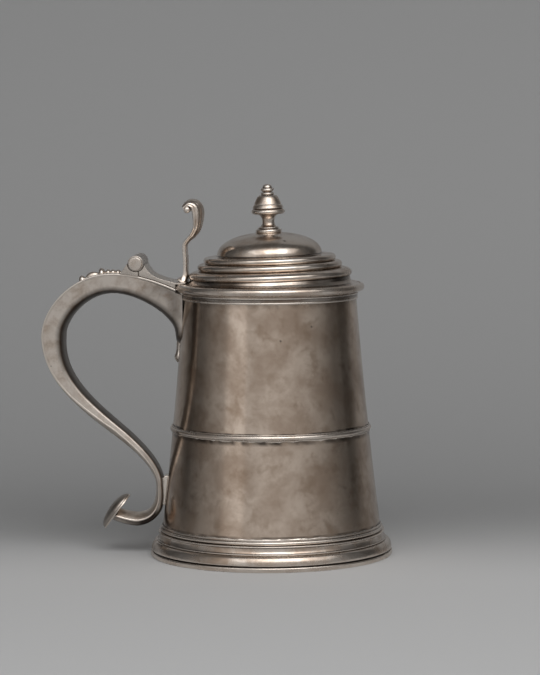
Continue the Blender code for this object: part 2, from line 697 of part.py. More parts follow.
def shield_point(angle, scale):
    """Outline of the terminal: round above, drawn to a point below. Returns (up, across)."""
    up = math.cos(angle)
    across = math.sin(angle)
    point = 1.25 if up < 0 else 2.0
    length = math.copysign(abs(up) ** (2 / point), up)
    breadth = math.copysign(abs(across) ** (2 / max(point, 1.6)), across)
    return TERMINAL_LENGTH / 2 * length * scale, TERMINAL_WIDTH / 2 * breadth * scale


def make_terminal(shop, stations):
    """The shield at the handle's lower end: a flat closing plate and a dome on it."""
    centre, facing, upward = shield_frame(stations)
    count = 24

    def ring(lift, scale):
        corners = [shield_point(2 * math.pi * i / count, scale) for i in range(count)]
        return [centre + facing * lift + upward * up + Vector((0, across, 0)) for up, across in corners]

    back = SEAM
    front = back + TERMINAL_PLATE
    shop.fixed(loft("terminal_plate", [ring(back, 1.0), ring(front, 1.0)]), POLISHED)
    base = front + SEAM
    rings = [ring(base, 0.97)]
    for share in (0.3, 0.55, 0.78, 0.94):
        rings.append(ring(base + TERMINAL_BULGE * share, 0.97 * math.sqrt(1 - share**2)))
    shop.fixed(loft("terminal_dome", rings), SATIN)


# Hinge


def make_hinge(shop, stations):
    """Alternate knuckles of the handle and of the lid on one pin, with a cap at each end."""
    length = (HINGE_LENGTH - (KNUCKLE_COUNT - 1) * SEAM) / KNUCKLE_COUNT
    chamfer = SEAM
    bore = PIN_RADIUS + PIN_CLEARANCE
    for i in range(KNUCKLE_COUNT):
        half = length / 2
        outline = [(KNUCKLE_RADIUS - chamfer, half), (KNUCKLE_RADIUS, half - chamfer)]
        outline += [(KNUCKLE_RADIUS, chamfer - half), (KNUCKLE_RADIUS - chamfer, -half)]
        outline += [(bore, -half), (bore, half)]
        knuckle = turned(f"hinge_knuckle_{i + 1}", outline, SMALL_STEPS)
        across = -HINGE_LENGTH / 2 + half + i * (length + SEAM)
        lay_along_y(knuckle, PIVOT + Vector((0, across, 0)))
        if i % 2:
            shop.moving(knuckle, POLISHED)
        else:
            shop.fixed(knuckle, POLISHED)

    half = HINGE_LENGTH / 2
    outline = [(0, half), (PIN_RADIUS, half), (PIN_RADIUS, -half), (0, -half)]
    pin = turned_solid("hinge_pin", outline, SMALL_STEPS)
    lay_along_y(pin, PIVOT)
    shop.fixed(pin, POLISHED)

    crown = CAP_THICKNESS / 3
    outline = [(0, CAP_THICKNESS)]
    outline += arc((CAP_RADIUS * 0.8, CAP_THICKNESS - crown), (CAP_RADIUS * 0.2, crown), 90, 0, 3)
    outline += [(CAP_RADIUS, 0), (0, 0)]
    for name, side in (("hinge_cap_near", -1), ("hinge_cap_far", 1)):
        cap = turned_solid(name, outline, SMALL_STEPS)
        if side > 0:
            cap.data.transform(Matrix.Rotation(math.pi, 4, "X"))
        lay_along_y(cap, PIVOT + Vector((0, side * (HINGE_LENGTH / 2 + SEAM), 0)))
        shop.fixed(cap, POLISHED)

    saddle = arc((PIVOT.x, PIVOT.z), (KNUCKLE_CLEAR, KNUCKLE_CLEAR), 180, 262, 7)
    edge = PIVOT.x - LEAF_LENGTH
    right = saddle[-1][0]
    seat = [(x, back_height(x, stations) + SEAM) for x in np.linspace(right, edge, 6)]
    shop.fixed(plate("hinge_leaf", saddle + seat, HINGE_LENGTH), SATIN)


def make_lid_plate(shop, stations):
    """The plate from the lid's knuckles down to the flange, clear of the handle below it."""
    hollow = arc((PIVOT.x, PIVOT.z), (KNUCKLE_CLEAR, KNUCKLE_CLEAR), 292, 350, 6)
    lid_edge = -LID_RADIUS - SEAM
    end = -LID_OVOLO_RADIUS - SEAM
    rest = FLANGE_HEIGHT + SEAM
    top = rest + PLATE_THICKNESS * 0.75
    upper = []
    for share in np.linspace(0.2, 1, 5):
        x = hollow[-1][0] + (lid_edge - hollow[-1][0]) * share
        lift = (hollow[-1][1] - top) * (1 - share) ** 2.2
        upper.append((x, top + lift))
    under = []
    for x in np.linspace(lid_edge, hollow[0][0], 6):
        under.append((x, back_height(x, stations) + SWING_GAP))
    outline = hollow + upper + [(end, top), (-CAVETTO_FOOT - SEAM, rest), (lid_edge, rest)] + under
    shop.moving(plate("lid_hinge_plate", outline, PLATE_WIDTH), SATIN)
    return top


def make_thumbpiece(shop, base):
    """A strap that rises from the lid's plate, steps forward and rolls back in a scroll with a round eye."""
    stem = -LID_OVOLO_RADIUS - THUMB_SET_BACK - THUMB_STEM_THICKNESS / 2
    bend = base + THUMB_STEM_HEIGHT
    stem_rows = [(0.0, 1.1, THUMB_FOOT_WIDTH), (0.3, 1.0, THUMB_STEM_WIDTH), (0.92, 1.0, THUMB_STEM_WIDTH)]
    scroll_rows = [
        (0.2, 0.07, 0.38, 0.75),
        (0.7, 0.2, 0.6, 0.88),
        (0.95, 0.4, 0.65, 0.96),
        (1.0, 0.585, 0.95, 1.0),
        (0.99, 0.77, 1.1, 1.0),
        (0.79, 0.89, 0.9, 1.0),
        (0.4, 0.925, 0.63, 1.0),
        (0.03, 0.83, 0.43, 1.0),
    ]
    rows = []
    for up, thick, width in stem_rows:
        centre = Vector((stem, 0, base + SEAM + (THUMB_STEM_HEIGHT - SEAM) * up))
        rows.append((centre, thick * THUMB_STEM_THICKNESS, width))
    for ahead, up, thick, width in scroll_rows:
        centre = Vector((stem + THUMB_SCROLL_FORWARD * ahead, 0, bend + THUMB_SCROLL_HEIGHT * up))
        rows.append((centre, thick * THUMB_SCROLL_THICKNESS, width * THUMB_SCROLL_WIDTH))
    rings = []
    for i, (centre, thickness, width) in enumerate(rows):
        along = (rows[min(i + 1, len(rows) - 1)][0] - rows[max(i - 1, 0)][0]).normalized()
        front = Vector((along.z, 0, -along.x)) * (thickness / 2)
        side = Vector((0, width / 2, 0))
        half = [(1.0, 0.0), (0.93, 0.5), (0.72, 0.88), (0.35, 1.0), (-0.6, 1.0), (-1.0, 0.86)]
        section = half + [(depth, -across) for depth, across in half[:0:-1]]
        rings.append([centre + front * depth + side * across for depth, across in section])
    strap = loft("thumbpiece", rings)
    rounding = THUMB_EYE_RADIUS * 0.6
    end = THUMB_SCROLL_WIDTH / 2 - rounding / 2
    outline = arc((0, end), (THUMB_EYE_RADIUS, rounding), 90, 0, 4)
    outline += arc((0, -end), (THUMB_EYE_RADIUS, rounding), 0, -90, 4)
    eye = turned_solid("thumb_eye", outline, SMALL_STEPS)
    place = Vector((stem + THUMB_SCROLL_FORWARD * 0.2, 0, bend + THUMB_SCROLL_HEIGHT * 0.765))
    lay_along_y(eye, place)
    boolean(strap, shop.cutter(eye), "UNION")
    shop.moving(strap, SATIN)


# Lid


def dome_height(radius, inset=0.0):
    """Height of the dome's outside, or of a skin inset from it, at a radius."""
    wide = DOME_RADIUS - inset
    share = min(radius / wide, 1)
    return DOME_BASE + (DOME_HEIGHT - inset) * (1 - share**DOME_FULLNESS) ** (1 / DOME_FULLNESS)


def dome_outline(start, inset, steps):
    """The dome from a radius near the axis out to its edge."""
    wide = DOME_RADIUS - inset
    first = math.asin(start / wide)
    radii = [wide * math.sin(a) for a in np.linspace(first, math.pi / 2, steps + 1)]
    return [(r, dome_height(r, inset)) for r in radii]


def lid_outline():
    """Outside of the lid from the dome down to the flange's edge, and its inside back up."""
    hole = STUD_RADIUS + STUD_PLAY
    step_top = LID_STEP_BASE + LID_STEP_HEIGHT
    ovolo_base = FLANGE_HEIGHT + CAVETTO_HEIGHT
    fillet_in = LID_FILLET_RADIUS - LID_FILLET_HEIGHT / 2
    step_in = LID_STEP_RADIUS - LID_STEP_HEIGHT / 2
    ovolo_in = LID_STEP_RADIUS + GAUGE / 2
    outline = dome_outline(hole, 0.0, 8)
    outline += arc((fillet_in, DOME_BASE), (fillet_in - DOME_RADIUS, COVE_HEIGHT), 202, 270, 3)
    outline += bead((fillet_in, COVE_BASE), (fillet_in, step_top), LID_FILLET_HEIGHT / 2, 4)[1:]
    outline += bead((step_in, step_top), (step_in, LID_STEP_BASE), LID_STEP_HEIGHT / 2, 4)[1:]
    sweep = LID_OVOLO_RADIUS - ovolo_in
    outline += arc((ovolo_in, ovolo_base), (sweep, LID_OVOLO_HEIGHT), 90, 0, 5)
    hollow = CAVETTO_FOOT - LID_OVOLO_RADIUS + GAUGE / 2
    outline += arc((CAVETTO_FOOT, ovolo_base), (hollow, CAVETTO_HEIGHT), 190, 270, 3)
    outline += [(FLANGE_RADIUS, FLANGE_HEIGHT), (FLANGE_RADIUS, FLANGE_HEIGHT - GAUGE)]
    outline += [(CAVETTO_FOOT - GAUGE, FLANGE_HEIGHT - GAUGE), (LID_OVOLO_RADIUS - 2 * GAUGE, ovolo_base)]
    outline += [(ovolo_in - GAUGE, LID_STEP_BASE - 2 * GAUGE), (step_in - GAUGE, LID_STEP_BASE)]
    outline += [(fillet_in - GAUGE, step_top), (DOME_RADIUS - GAUGE, COVE_BASE)]
    outline += dome_outline(hole, GAUGE, 5)[::-1]
    return outline


def make_lid(shop):
    shop.moving(turned("lid_shell", lid_outline()), SATIN)

    low = SEAT_HEIGHT + LID_RIM_LIFT
    inner = LID_RADIUS - LID_RIM_WIDTH
    flat = LID_RIM_WIDTH * 0.25
    outline = [(inner, FLANGE_HEIGHT)]
    outline += bead((inner + flat, FLANGE_HEIGHT), (inner + flat, low), LID_RIM_WIDTH - flat, 6)
    outline.append((inner, low))
    shop.moving(turned("lid_rim", outline), POLISHED)

    ceiling = FLANGE_HEIGHT - GAUGE - SEAM
    skirt = LIP_RADIUS - GAUGE - BEZEL_PLAY
    outer = inner - SEAM
    outline = [(outer, ceiling), (outer, SEAT_HEIGHT), (skirt, SEAT_HEIGHT)]
    outline += [(skirt, LIP_HEIGHT - BEZEL_DEPTH + GAUGE / 2), (skirt - GAUGE / 2, LIP_HEIGHT - BEZEL_DEPTH)]
    outline += [(skirt - GAUGE, LIP_HEIGHT - BEZEL_DEPTH), (skirt - GAUGE, ceiling)]
    shop.moving(turned("lid_bezel", outline), TARNISHED)


def make_finial(shop):
    """A turned bell on a waisted stem with a knob on top, held by a stud and a washer inside the dome."""
    base = DOME_TOP + SEAM
    foot = base + FINIAL_BASE_HEIGHT
    bell = foot + FINIAL_NECK_HEIGHT
    shoulder = bell + FINIAL_BELL_HEIGHT
    collar = shoulder + FINIAL_COLLAR_HEIGHT
    tip = collar + FINIAL_KNOB_HEIGHT

    knob = collar + FINIAL_KNOB_HEIGHT * 0.4
    knob_half = FINIAL_KNOB_HEIGHT * 0.36
    nub = FINIAL_KNOB_RADIUS * 0.6
    nub_base = knob + knob_half * 0.75
    outline = arc((0, nub_base), (nub, tip - nub_base), 90, 15, 4)
    outline += arc((0, knob), (FINIAL_KNOB_RADIUS, knob_half), 40, -45, 5)

    collar_neck = FINIAL_COLLAR_RADIUS * 0.65
    outline += [(collar_neck, collar), (FINIAL_COLLAR_RADIUS, collar - FINIAL_COLLAR_HEIGHT * 0.3)]
    outline.append((FINIAL_COLLAR_RADIUS, shoulder + FINIAL_COLLAR_HEIGHT * 0.15))

    edge = FINIAL_BELL_HEIGHT * 0.12
    flange = bell + 2 * edge
    waist = FINIAL_BELL_RADIUS * 0.83
    side = flange + 2.5 * edge
    outline += arc((FINIAL_SHOULDER_RADIUS - edge, shoulder - edge), (edge, edge), 80, 20, 3)
    outline += bead((waist, side), (waist, flange + edge), edge / 3, 3)
    outline += arc((waist, flange), (FINIAL_BELL_RADIUS - waist, edge), 90, -90, 5)[1:]

    under = FINIAL_NECK_RADIUS * 1.5
    neck = foot + FINIAL_NECK_HEIGHT * 0.45
    groove = FINIAL_BASE_RADIUS * 0.88
    outline += arc((under, neck), (under - FINIAL_NECK_RADIUS, bell - neck), 120, 180, 3)
    outline += arc((groove, neck), (groove - FINIAL_NECK_RADIUS, neck - foot), 195, 270, 4)
    ring = FINIAL_BASE_HEIGHT / 2
    outline += bead((groove, foot), (groove, foot - ring), FINIAL_BASE_RADIUS - groove, 4)[1:]
    outline += bead((groove, foot - ring), (groove, base), FINIAL_BASE_RADIUS - groove, 4)[1:]
    end = dome_height(0, GAUGE) - 2 * SEAM - 2 * GAUGE
    outline += [(STUD_RADIUS, base), (STUD_RADIUS, end), (0, end)]
    shop.moving(turned_solid("finial", outline, SMALL_STEPS), POLISHED)

    top = dome_height(WASHER_RADIUS, GAUGE) - SEAM
    hole = STUD_RADIUS + STUD_PLAY
    outline = [(WASHER_RADIUS, top), (WASHER_RADIUS, top - GAUGE), (hole, top - GAUGE), (hole, top)]
    shop.moving(turned("finial_washer", outline, SMALL_STEPS), TARNISHED)


def main():
    shop = Workshop()
    stations = handle_stations()
    clear_of_body, clear_of_rim, clear_of_shield = make_clearances(shop, stations)
    make_body(shop)
    make_foot(shop)
    make_wires(shop)
    make_handle(shop, stations, clear_of_body, clear_of_rim, clear_of_shield)
    make_ornament(shop)
    make_body_drop(shop, stations)
    make_strut(shop, stations, clear_of_body)
    make_terminal(shop, stations)
    make_hinge(shop, stations)
    make_lid(shop)
    make_finial(shop)
    plate_top = make_lid_plate(shop, stations)
    make_thumbpiece(shop, plate_top)


main()
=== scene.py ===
"""Looks of a lidded silver tankard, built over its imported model.

Laid out as an add-on: property groups hold the sizes and colours, each operator makes one piece or a group of
like pieces, and the panel lists the operators. Lengths are in metres and +Z is up. Outlines and sections are
worked out round the tankard's own axis, and each piece is moved to that axis when it is finished.
"""

import math

import bmesh
import bpy
import numpy as np
from bpy.props import FloatProperty, FloatVectorProperty, IntProperty, PointerProperty
from mathutils import Matrix, Vector, noise
from mathutils.geometry import interpolate_bezier


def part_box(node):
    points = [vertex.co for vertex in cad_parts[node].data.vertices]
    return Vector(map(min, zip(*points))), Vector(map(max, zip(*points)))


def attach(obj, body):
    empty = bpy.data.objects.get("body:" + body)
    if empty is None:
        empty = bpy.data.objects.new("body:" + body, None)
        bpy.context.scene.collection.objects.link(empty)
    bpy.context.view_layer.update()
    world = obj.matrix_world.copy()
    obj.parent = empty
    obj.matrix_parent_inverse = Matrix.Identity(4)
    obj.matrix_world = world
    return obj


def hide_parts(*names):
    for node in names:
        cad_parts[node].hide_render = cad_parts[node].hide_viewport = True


bl_info = {
    "name": "Silver tankard",
    "version": (1, 0, 0),
    "blender": (4, 5, 0),
    "location": "View3D > Sidebar > Tankard",
    "description": "A lidded silver tankard with worn and tarnished surfaces",
    "category": "Object",
}

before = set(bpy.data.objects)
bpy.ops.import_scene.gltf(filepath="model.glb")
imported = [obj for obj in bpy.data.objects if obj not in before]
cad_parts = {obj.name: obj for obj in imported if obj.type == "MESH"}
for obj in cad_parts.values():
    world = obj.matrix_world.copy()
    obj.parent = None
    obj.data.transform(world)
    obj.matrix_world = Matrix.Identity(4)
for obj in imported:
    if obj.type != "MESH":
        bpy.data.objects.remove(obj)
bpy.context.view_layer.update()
MM = 0.001


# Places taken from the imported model


def middle(node):
    low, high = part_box(node)
    return (low + high) / 2


def half_width(node, axis=0):
    low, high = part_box(node)
    return (high[axis] - low[axis]) / 2


AXIS = Vector((middle("foot_moulding").x, 0, 0))
FOOT_RADIUS = half_width("foot_moulding")
FOOT_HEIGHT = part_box("foot_moulding")[1].z
BODY_END, LIP_HEIGHT = (corner.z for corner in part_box("body_wall"))
FLOOR_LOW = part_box("body_floor")[0].z
BAND_LOW, BAND_HIGH = (corner.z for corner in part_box("mid_band"))
RIM_LOW, RIM_HIGH = (corner.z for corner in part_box("rim_moulding"))
RIM_RADIUS = half_width("rim_moulding")
LID_RADIUS = half_width("lid_rim")
LID_SEAT, FLANGE_HEIGHT = (corner.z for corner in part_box("lid_rim"))
BEZEL_LOW, BEZEL_HIGH = (corner.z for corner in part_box("lid_bezel"))
BEZEL_RADIUS = half_width("lid_bezel")
DOME_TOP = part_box("lid_shell")[1].z
FINIAL_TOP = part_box("finial")[1].z
PIVOT = middle("hinge_pin") - AXIS
KNUCKLE_RADIUS = half_width("hinge_knuckle_1", 2)
HANDLE_REACH = AXIS.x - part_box("handle_back")[0].x


def side_curve():
    """The body's outer side as a quadratic of the height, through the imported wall's widest points."""
    widest = {}
    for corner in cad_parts["body_wall"].data.vertices:
        height = round(corner.co.z, 5)
        widest[height] = max(widest.get(height, 0), (corner.co - AXIS).xy.length)
    return np.polyfit(list(widest), list(widest.values()), 2)


SIDE = side_curve()


def side_radius(height):
    """Outer radius of the body at a height."""
    return float(np.polyval(SIDE, height))


# Sizes and colours that a user may change


def number(name, description, value, unit="NONE", precision=2):
    return FloatProperty(name=name, description=description, default=value, unit=unit, precision=precision)


def length(name, description, millimetres):
    return number(name, description, millimetres * MM, "LENGTH", 5)


def turn(name, description, degrees):
    return number(name, description, math.radians(degrees), "ROTATION")


def linear(code):
    """An sRGB hex colour as linear red, green and blue."""
    parts = [int(code[i : i + 2], 16) / 255 for i in (1, 3, 5)]
    return tuple(p / 12.92 if p <= 0.04045 else ((p + 0.055) / 1.055) ** 2.4 for p in parts)


def colour(name, description, code):
    return FloatVectorProperty(
        name=name, description=description, default=linear(code), size=3, subtype="COLOR", min=0, max=1
    )


class TankardBody(bpy.types.PropertyGroup):
    gauge: length("Sheet", "Thickness of the raised silver sheet", 0.8)
    floor_rise: length("Floor rise", "How far the bottom sheet is domed up", 1.6)
    unevenness: length("Unevenness", "Height of the waves that the hammer left in the sheet", 0.09)
    wave: length("Wave", "Distance from one wave of the hammered sheet to the next", 26)


class TankardFoot(bpy.types.PropertyGroup):
    plinth_height: length("Plinth", "Height of the band that stands on the table", 2.6)
    ovolo_height: length("Ovolo", "Height of the large rounded member", 5.8)
    ovolo_set_back: length("Ovolo set-back", "From the foot's edge to the ovolo's top", 3.2)
    hollow_height: length("Hollow", "Height of the hollow member with its fillets", 5.2)
    hollow_proud: length("Hollow proud", "How far the hollow's upper fillet stands out from the body", 1.8)
    hollow_depth: length("Hollow depth", "Depth of the hollow behind its upper fillet", 0.6)
    astragal_proud: length("Astragal", "How far the topmost half-round stands out", 0.7)
    fillet: length("Fillet", "Height of the narrow flats between the members", 0.9)
    groove: length("Groove", "Depth of the scraped lines between the members", 0.7)
    wall: length("Wall", "Width of the ring that touches the table", 2.4)


class TankardLid(bpy.types.PropertyGroup):
    rim_width: length("Rim wire", "Width of the half-round wire round the flange", 2.6)
    cavetto_height: length("Cavetto", "Height of the hollow above the flange", 3.0)
    ovolo_set_back: length("Ovolo set-back", "From the lid's edge to the widest step", 7.3)
    ovolo_height: length("Ovolo", "Height of the widest step", 4.8)
    step_set_back: length("Step set-back", "From the widest step to the next", 5.1)
    step_height: length("Step", "Height of the middle step", 3.85)
    fillet_set_back: length("Top step set-back", "From the middle step to the top one", 3.4)
    fillet_height: length("Top step", "Height of the top step", 3.6)
    cove_width: length("Cove width", "From the top step to the dome", 7.6)
    cove_height: length("Cove height", "From the top step up to the dome's edge", 0.7)
    lean: turn("Lean", "How far the old lid's steps and dome lean towards the handle", 1.5)
    bezel_depth: length("Bezel foot", "Height of the bezel's rounded lower edge", 0.4)
    bezel_play: length("Bezel play", "Room between the bezel and the mouth", 1.3)
    dome_fullness: number("Dome fullness", "Exponent of the dome's outline; 2 is an ellipse", 2.15)


class TankardFinial(bpy.types.PropertyGroup):
    nub_radius: length("Nub radius", "Radius of the low button on top", 2.5)
    nub_height: length("Nub height", "Height of that button", 1.5)
    knob_radius: length("Knob radius", "Radius of the knob", 3.7)
    knob_height: length("Knob height", "Height of the knob", 3.2)
    collar_radius: length("Collar radius", "Radius of the ring under the knob", 3.7)
    collar_height: length("Collar height", "Height of the ring under the knob", 1.5)
    shoulder_radius: length("Shoulder radius", "Radius of the bell's shoulder", 5.0)
    bell_radius: length("Bell radius", "Radius of the bell's lower edge", 8.4)
    bell_height: length("Bell height", "From the shoulder to the groove above the flange", 7.0)
    flange_radius: length("Flange radius", "Radius of the bell's flange", 9.2)
    flange_height: length("Flange height", "Height of the bell's flange", 3.6)
    neck_radius: length("Neck radius", "Radius at the waist", 3.3)
    ring_radius: length("Ring radius", "Radius of the ring that it stands on", 7.0)
    ring_height: length("Ring height", "Height of that ring", 2.0)


class TankardHandle(bpy.types.PropertyGroup):
    slope: turn("Slope", "Slope of the back where it passes under the lid's edge", 27)
    root: length("Root", "How far the uncut handle runs on into the body", 19)
    edge_drop: length("Edge drop", "From the lid's rim wire down to the handle's back", 0.45)
    arch_out: length("Arch out", "From the lip out to the top of the arch", 39.6)
    arch_rise: length("Arch rise", "From the lip up to the top of the arch", 11)
    reach_drop: length("Reach drop", "From the lip down to the outermost point", 24.5)
    sweep_height: length("Sweep height", "Height of the steepest place of the lower sweep", 66.6)
    sweep_out: length("Sweep out", "Distance from the body there", 33.6)
    sweep_slope: turn("Sweep slope", "Slope of the back there", 37)
    strut_height: length("Strut height", "Height where the handle comes nearest to the body", 38)
    strut_gap: length("Strut gap", "Distance from the handle to the body there", 2.2)
    curl_drop: length("Curl drop", "From there down to the bottom of the curl", 15.2)
    curl_out: length("Curl out", "From there out to the bottom of the curl", 10.6)
    curl_tail: length("Curl tail", "From the bottom of the curl to the handle's end", 12)
    curl_lift: length("Curl lift", "How far the end rises again", 2.7)
    curl_slope: turn("Curl slope", "Slope of the back at its end", 20)
    lift: length("Lift", "How far the back stands above the smooth curve at the lid's edge", 2.6)
    strip: length("Back strip", "Thickness of the strip that closes the back", 1.1)


class TankardHinge(bpy.types.PropertyGroup):
    leaf_length: length("Leaf", "From the pin to the edge of the leaf on the handle", 8.7)
    plate_thickness: length("Plate", "Thickness of the lid's plate on the flange", 0.9)
    swing_gap: length("Swing gap", "Between the lid's plate and the handle", 0.45)
    ornament_length: length("Ornament length", "Length of the cast drop behind the hinge", 24.5)
    ornament_radius: length("Ornament radius", "Radius of its largest bead", 3.0)


class TankardThumbpiece(bpy.types.PropertyGroup):
    set_back: length("Set-back", "From the lid's side to the stem", 1.3)
    stem_height: length("Stem height", "From the lid's plate to the bend", 19.5)
    stem_thickness: length("Stem thickness", "Thickness of the strap", 2.4)
    stem_width: length("Stem width", "Width of the strap", 13)
    foot_width: length("Foot width", "Width of the strap where it is fixed", 18)
    scroll_height: length("Scroll height", "From the bend to the top", 26)
    scroll_width: length("Scroll width", "Width of the scroll", 18)
    scroll_thickness: length("Scroll thickness", "Thickness of the scroll's front", 6)
    scroll_forward: length("Scroll forward", "How far the scroll steps forward", 8.8)
    eye_radius: length("Eye radius", "Radius of the rolled end's button", 1.75)
    flute_depth: length("Flute depth", "Depth of the lines between the scroll's reeds", 0.6)
    flutes: IntProperty(name="Reeds", description="Reeds and lines over the scroll's front", default=11)


class TankardTerminal(bpy.types.PropertyGroup):
    tall: length("Height", "Length of the shield at the handle's end", 22.4)
    wide: length("Width", "Width of the shield", 18)
    bulge: length("Bulge", "How far the shield is domed", 4.4)
    plate: length("Plate", "Thickness of the plate behind it", 0.8)
    inset: length("Inset", "How much of the handle's end the shield takes", 2.2)
    lean: turn("Lean", "How far the shield leans back from lying flat", 53)


class TankardSilver(bpy.types.PropertyGroup):
    worn: colour("Worn silver", "Silver where hands and cloth keep it bright", "#DDD3C9")
    satin: colour("Satin silver", "Silver dulled by age", "#D3C2B2")
    cloud: colour("Tarnish", "Brown-grey tarnish in clouds", "#B09C8B")
    stain: colour("Stain", "Warm brown stains", "#937B66")
    # The soot colour is also what the painted shade of the tarnish attribute darkens towards.
    soot: colour("Soot", "Black sulphide left in lines and corners", "#2A2320")


class TankardStage(bpy.types.PropertyGroup):
    floor: colour("Floor", "Paper under the tankard", "#C3C3C3")
    wall: colour("Wall", "Paper behind the tankard", "#979797")
    top_light: number("Top light", "Power of the large lamp above", 11.5, "POWER")
    key_light: number("Key light", "Power of the lamp within it", 7.5, "POWER")
    side_light: number("Side light", "Power of the tall lamp at the front left", 1.3, "POWER")
    room_front: number("Room in front", "Brightness of the room behind the camera", 0.56)
    room_back: number("Room behind", "Brightness of the room beside and behind", 0.1)
    camera_distance: length("Camera distance", "From the tankard's axis to the camera", 1500)
    camera_height: length("Camera height", "Height of the camera above the floor", 254)
    camera_turn: turn("Camera turn", "How far the camera stands round to the right", 3.6)
    camera_roll: turn("Camera roll", "Roll of the camera about its line of sight", -0.45)
    target_height: length("Target height", "Height on the tankard's axis that the camera faces", 120.06)
    lens: number("Lens", "Focal length in millimetres", 145.33)


GROUPS = {
    "tankard_body": TankardBody,
    "tankard_foot": TankardFoot,
    "tankard_lid": TankardLid,
    "tankard_finial": TankardFinial,
    "tankard_handle": TankardHandle,
    "tankard_hinge": TankardHinge,
    "tankard_thumbpiece": TankardThumbpiece,
    "tankard_terminal": TankardTerminal,
    "tankard_silver": TankardSilver,
    "tankard_stage": TankardStage,
}


# Modelling helpers

ROUND_STEPS = 176  # faces round a large piece
SMALL_STEPS = 72  # and round a small one
MERGE = 0.001 * MM  # points closer than this are one
CORNER_SHARE = 0.45  # most of an outline's side that a rounded corner takes
SLAB_CORNER = math.radians(50)  # a slab's edges that turn more than this are rounded
SOLDER_EDGE = 0.12 * MM  # how near an edge solder runs out from it
SOLDER_RUN = 3.5 * MM  # and the size of its runs
CREASE_REACH = 0.35 * MM  # a hollow of this radius or less is full of soot
SHORTEST = 0.02 * MM  # shorter edges count as this long


def clamp(share):
    return min(max(share, 0), 1)


def arc(centre, radii, start, end, steps=10):
    """Points on an ellipse round centre, from one angle in degrees to another."""
    angles = np.radians(np.linspace(start, end, steps + 1))
    return [(centre[0] + radii[0] * math.cos(a), centre[1] + radii[1] * math.sin(a)) for a in angles]


def bead(top, bottom, proud, steps=12):
    """Half-round between two points of an outline that runs downwards."""
    top, bottom = Vector(top), Vector(bottom)
    along = (bottom - top) / 2
    out = Vector((-along.y, along.x)).normalized() * proud
    angles = np.linspace(0, math.pi, steps + 1)
    return [tuple((top + bottom) / 2 + out * math.sin(a) - along * math.cos(a)) for a in angles]


def soften(outline, radius, steps=3, flat=155):
    """Rounds an outline's corners, as wear does, but not those as open as flat, in degrees."""
    soft = [outline[0]]
    for before, corner, after in zip(outline, outline[1:], outline[2:]):
        corner = Vector(corner)
        back, on = Vector(before) - corner, Vector(after) - corner
        if not back.length or not on.length:
            continue
        if back.angle(on) > math.radians(flat):
            soft.append(tuple(corner))
            continue
        start, end = (corner + w.normalized() * min(radius, w.length * CORNER_SHARE) for w in (back, on))
        for s in np.linspace(0, 1, steps + 1):
            soft.append(tuple(start * (1 - s) ** 2 + corner * (2 * s * (1 - s)) + end * s**2))
    soft.append(outline[-1])
    return soft


def ring_outline(inner, outer, low, high, corner):
    """The section of a plain ring with rounded corners, but for the one it starts at."""
    outline = [(inner, high), (outer, high), (outer, low), (inner, low), (inner, high)]
    return soften(outline, corner)[:-1]


def turned(outline, steps=ROUND_STEPS, closed=True):
    """Spins (radius, height) points about the axis; an open outline runs from the axis to the axis."""
    form = bmesh.new()
    corners = [form.verts.new((radius, 0, height)) for radius, height in outline]
    pairs = list(zip(corners, corners[1:]))
    if closed:
        pairs.append((corners[-1], corners[0]))
    edges = [form.edges.new(pair) for pair in pairs]
    bmesh.ops.spin(
        form, geom=corners + edges, cent=(0, 0, 0), axis=(0, 0, 1), angle=2 * math.pi, steps=steps,
        use_merge=True,
    )
    bmesh.ops.remove_doubles(form, verts=form.verts, dist=MERGE)
    return form


def lofted(rings, tarnish=None):
    """Bridges rings of as many points each and closes both ends; tarnish marks the points of each ring
    darker, for tarnish and for painted shade.
    """
    form = bmesh.new()
    marks = form.verts.layers.float.new("tarnish")
    loops = []
    for ring in rings:
        corners = [form.verts.new(point) for point in ring]
        for corner, mark in zip(corners, tarnish or ()):
            corner[marks] = mark
        loops.append([form.edges.new(pair) for pair in zip(corners, corners[1:] + corners[:1])])
    for first, second in zip(loops, loops[1:]):
        bmesh.ops.bridge_loops(form, edges=first + second)
    for end in (loops[0], loops[-1]):
        bmesh.ops.contextual_create(form, geom=end)
    return form


def pull(form, grown, way):
    """Moves the points among newly grown parts."""
    moved = [item for item in grown["geom"] if isinstance(item, bmesh.types.BMVert)]
    bmesh.ops.translate(form, verts=moved, vec=way)


def slab(outline, width, edge, steps=3):
    """An outline of (x, z) points as a slab across Y with rounded edges."""
    form = bmesh.new()
    corners = [form.verts.new((x, -width / 2, z)) for x, z in outline]
    face = form.faces.new(corners)
    pull(form, bmesh.ops.extrude_face_region(form, geom=[face]), (0, width, 0))
    bmesh.ops.recalc_face_normals(form, faces=form.faces)
    sharp = [e for e in form.edges if e.calc_face_angle(0) > SLAB_CORNER]
    bmesh.ops.bevel(
        form, geom=sharp, offset=edge, offset_type="OFFSET", affect="EDGES", segments=steps, profile=0.5,
        material=-1, clamp_overlap=True,
    )
    return form


def along_y(form, place):
    """Lays a piece that was turned about Z along the hinge's line."""
    bmesh.ops.transform(form, matrix=Matrix.Rotation(math.radians(90), 4, "X"), verts=form.verts)
    bmesh.ops.translate(form, verts=form.verts, vec=place)


def unsteady(form, height, wave):
    """Lets the surface wander in and out, as hand work does."""
    bmesh.ops.recalc_face_normals(form, faces=form.faces)
    form.normal_update()
    moves = [corner.normal * (height * noise.noise(corner.co / wave)) for corner in form.verts]
    for corner, move in zip(form.verts, moves):
        corner.co += move


def hand_turned(outline, corner, height, wave):
    """A turned piece with rounded corners and an unsteady surface."""
    form = turned(soften(outline, corner))
    unsteady(form, height, wave)
    return form


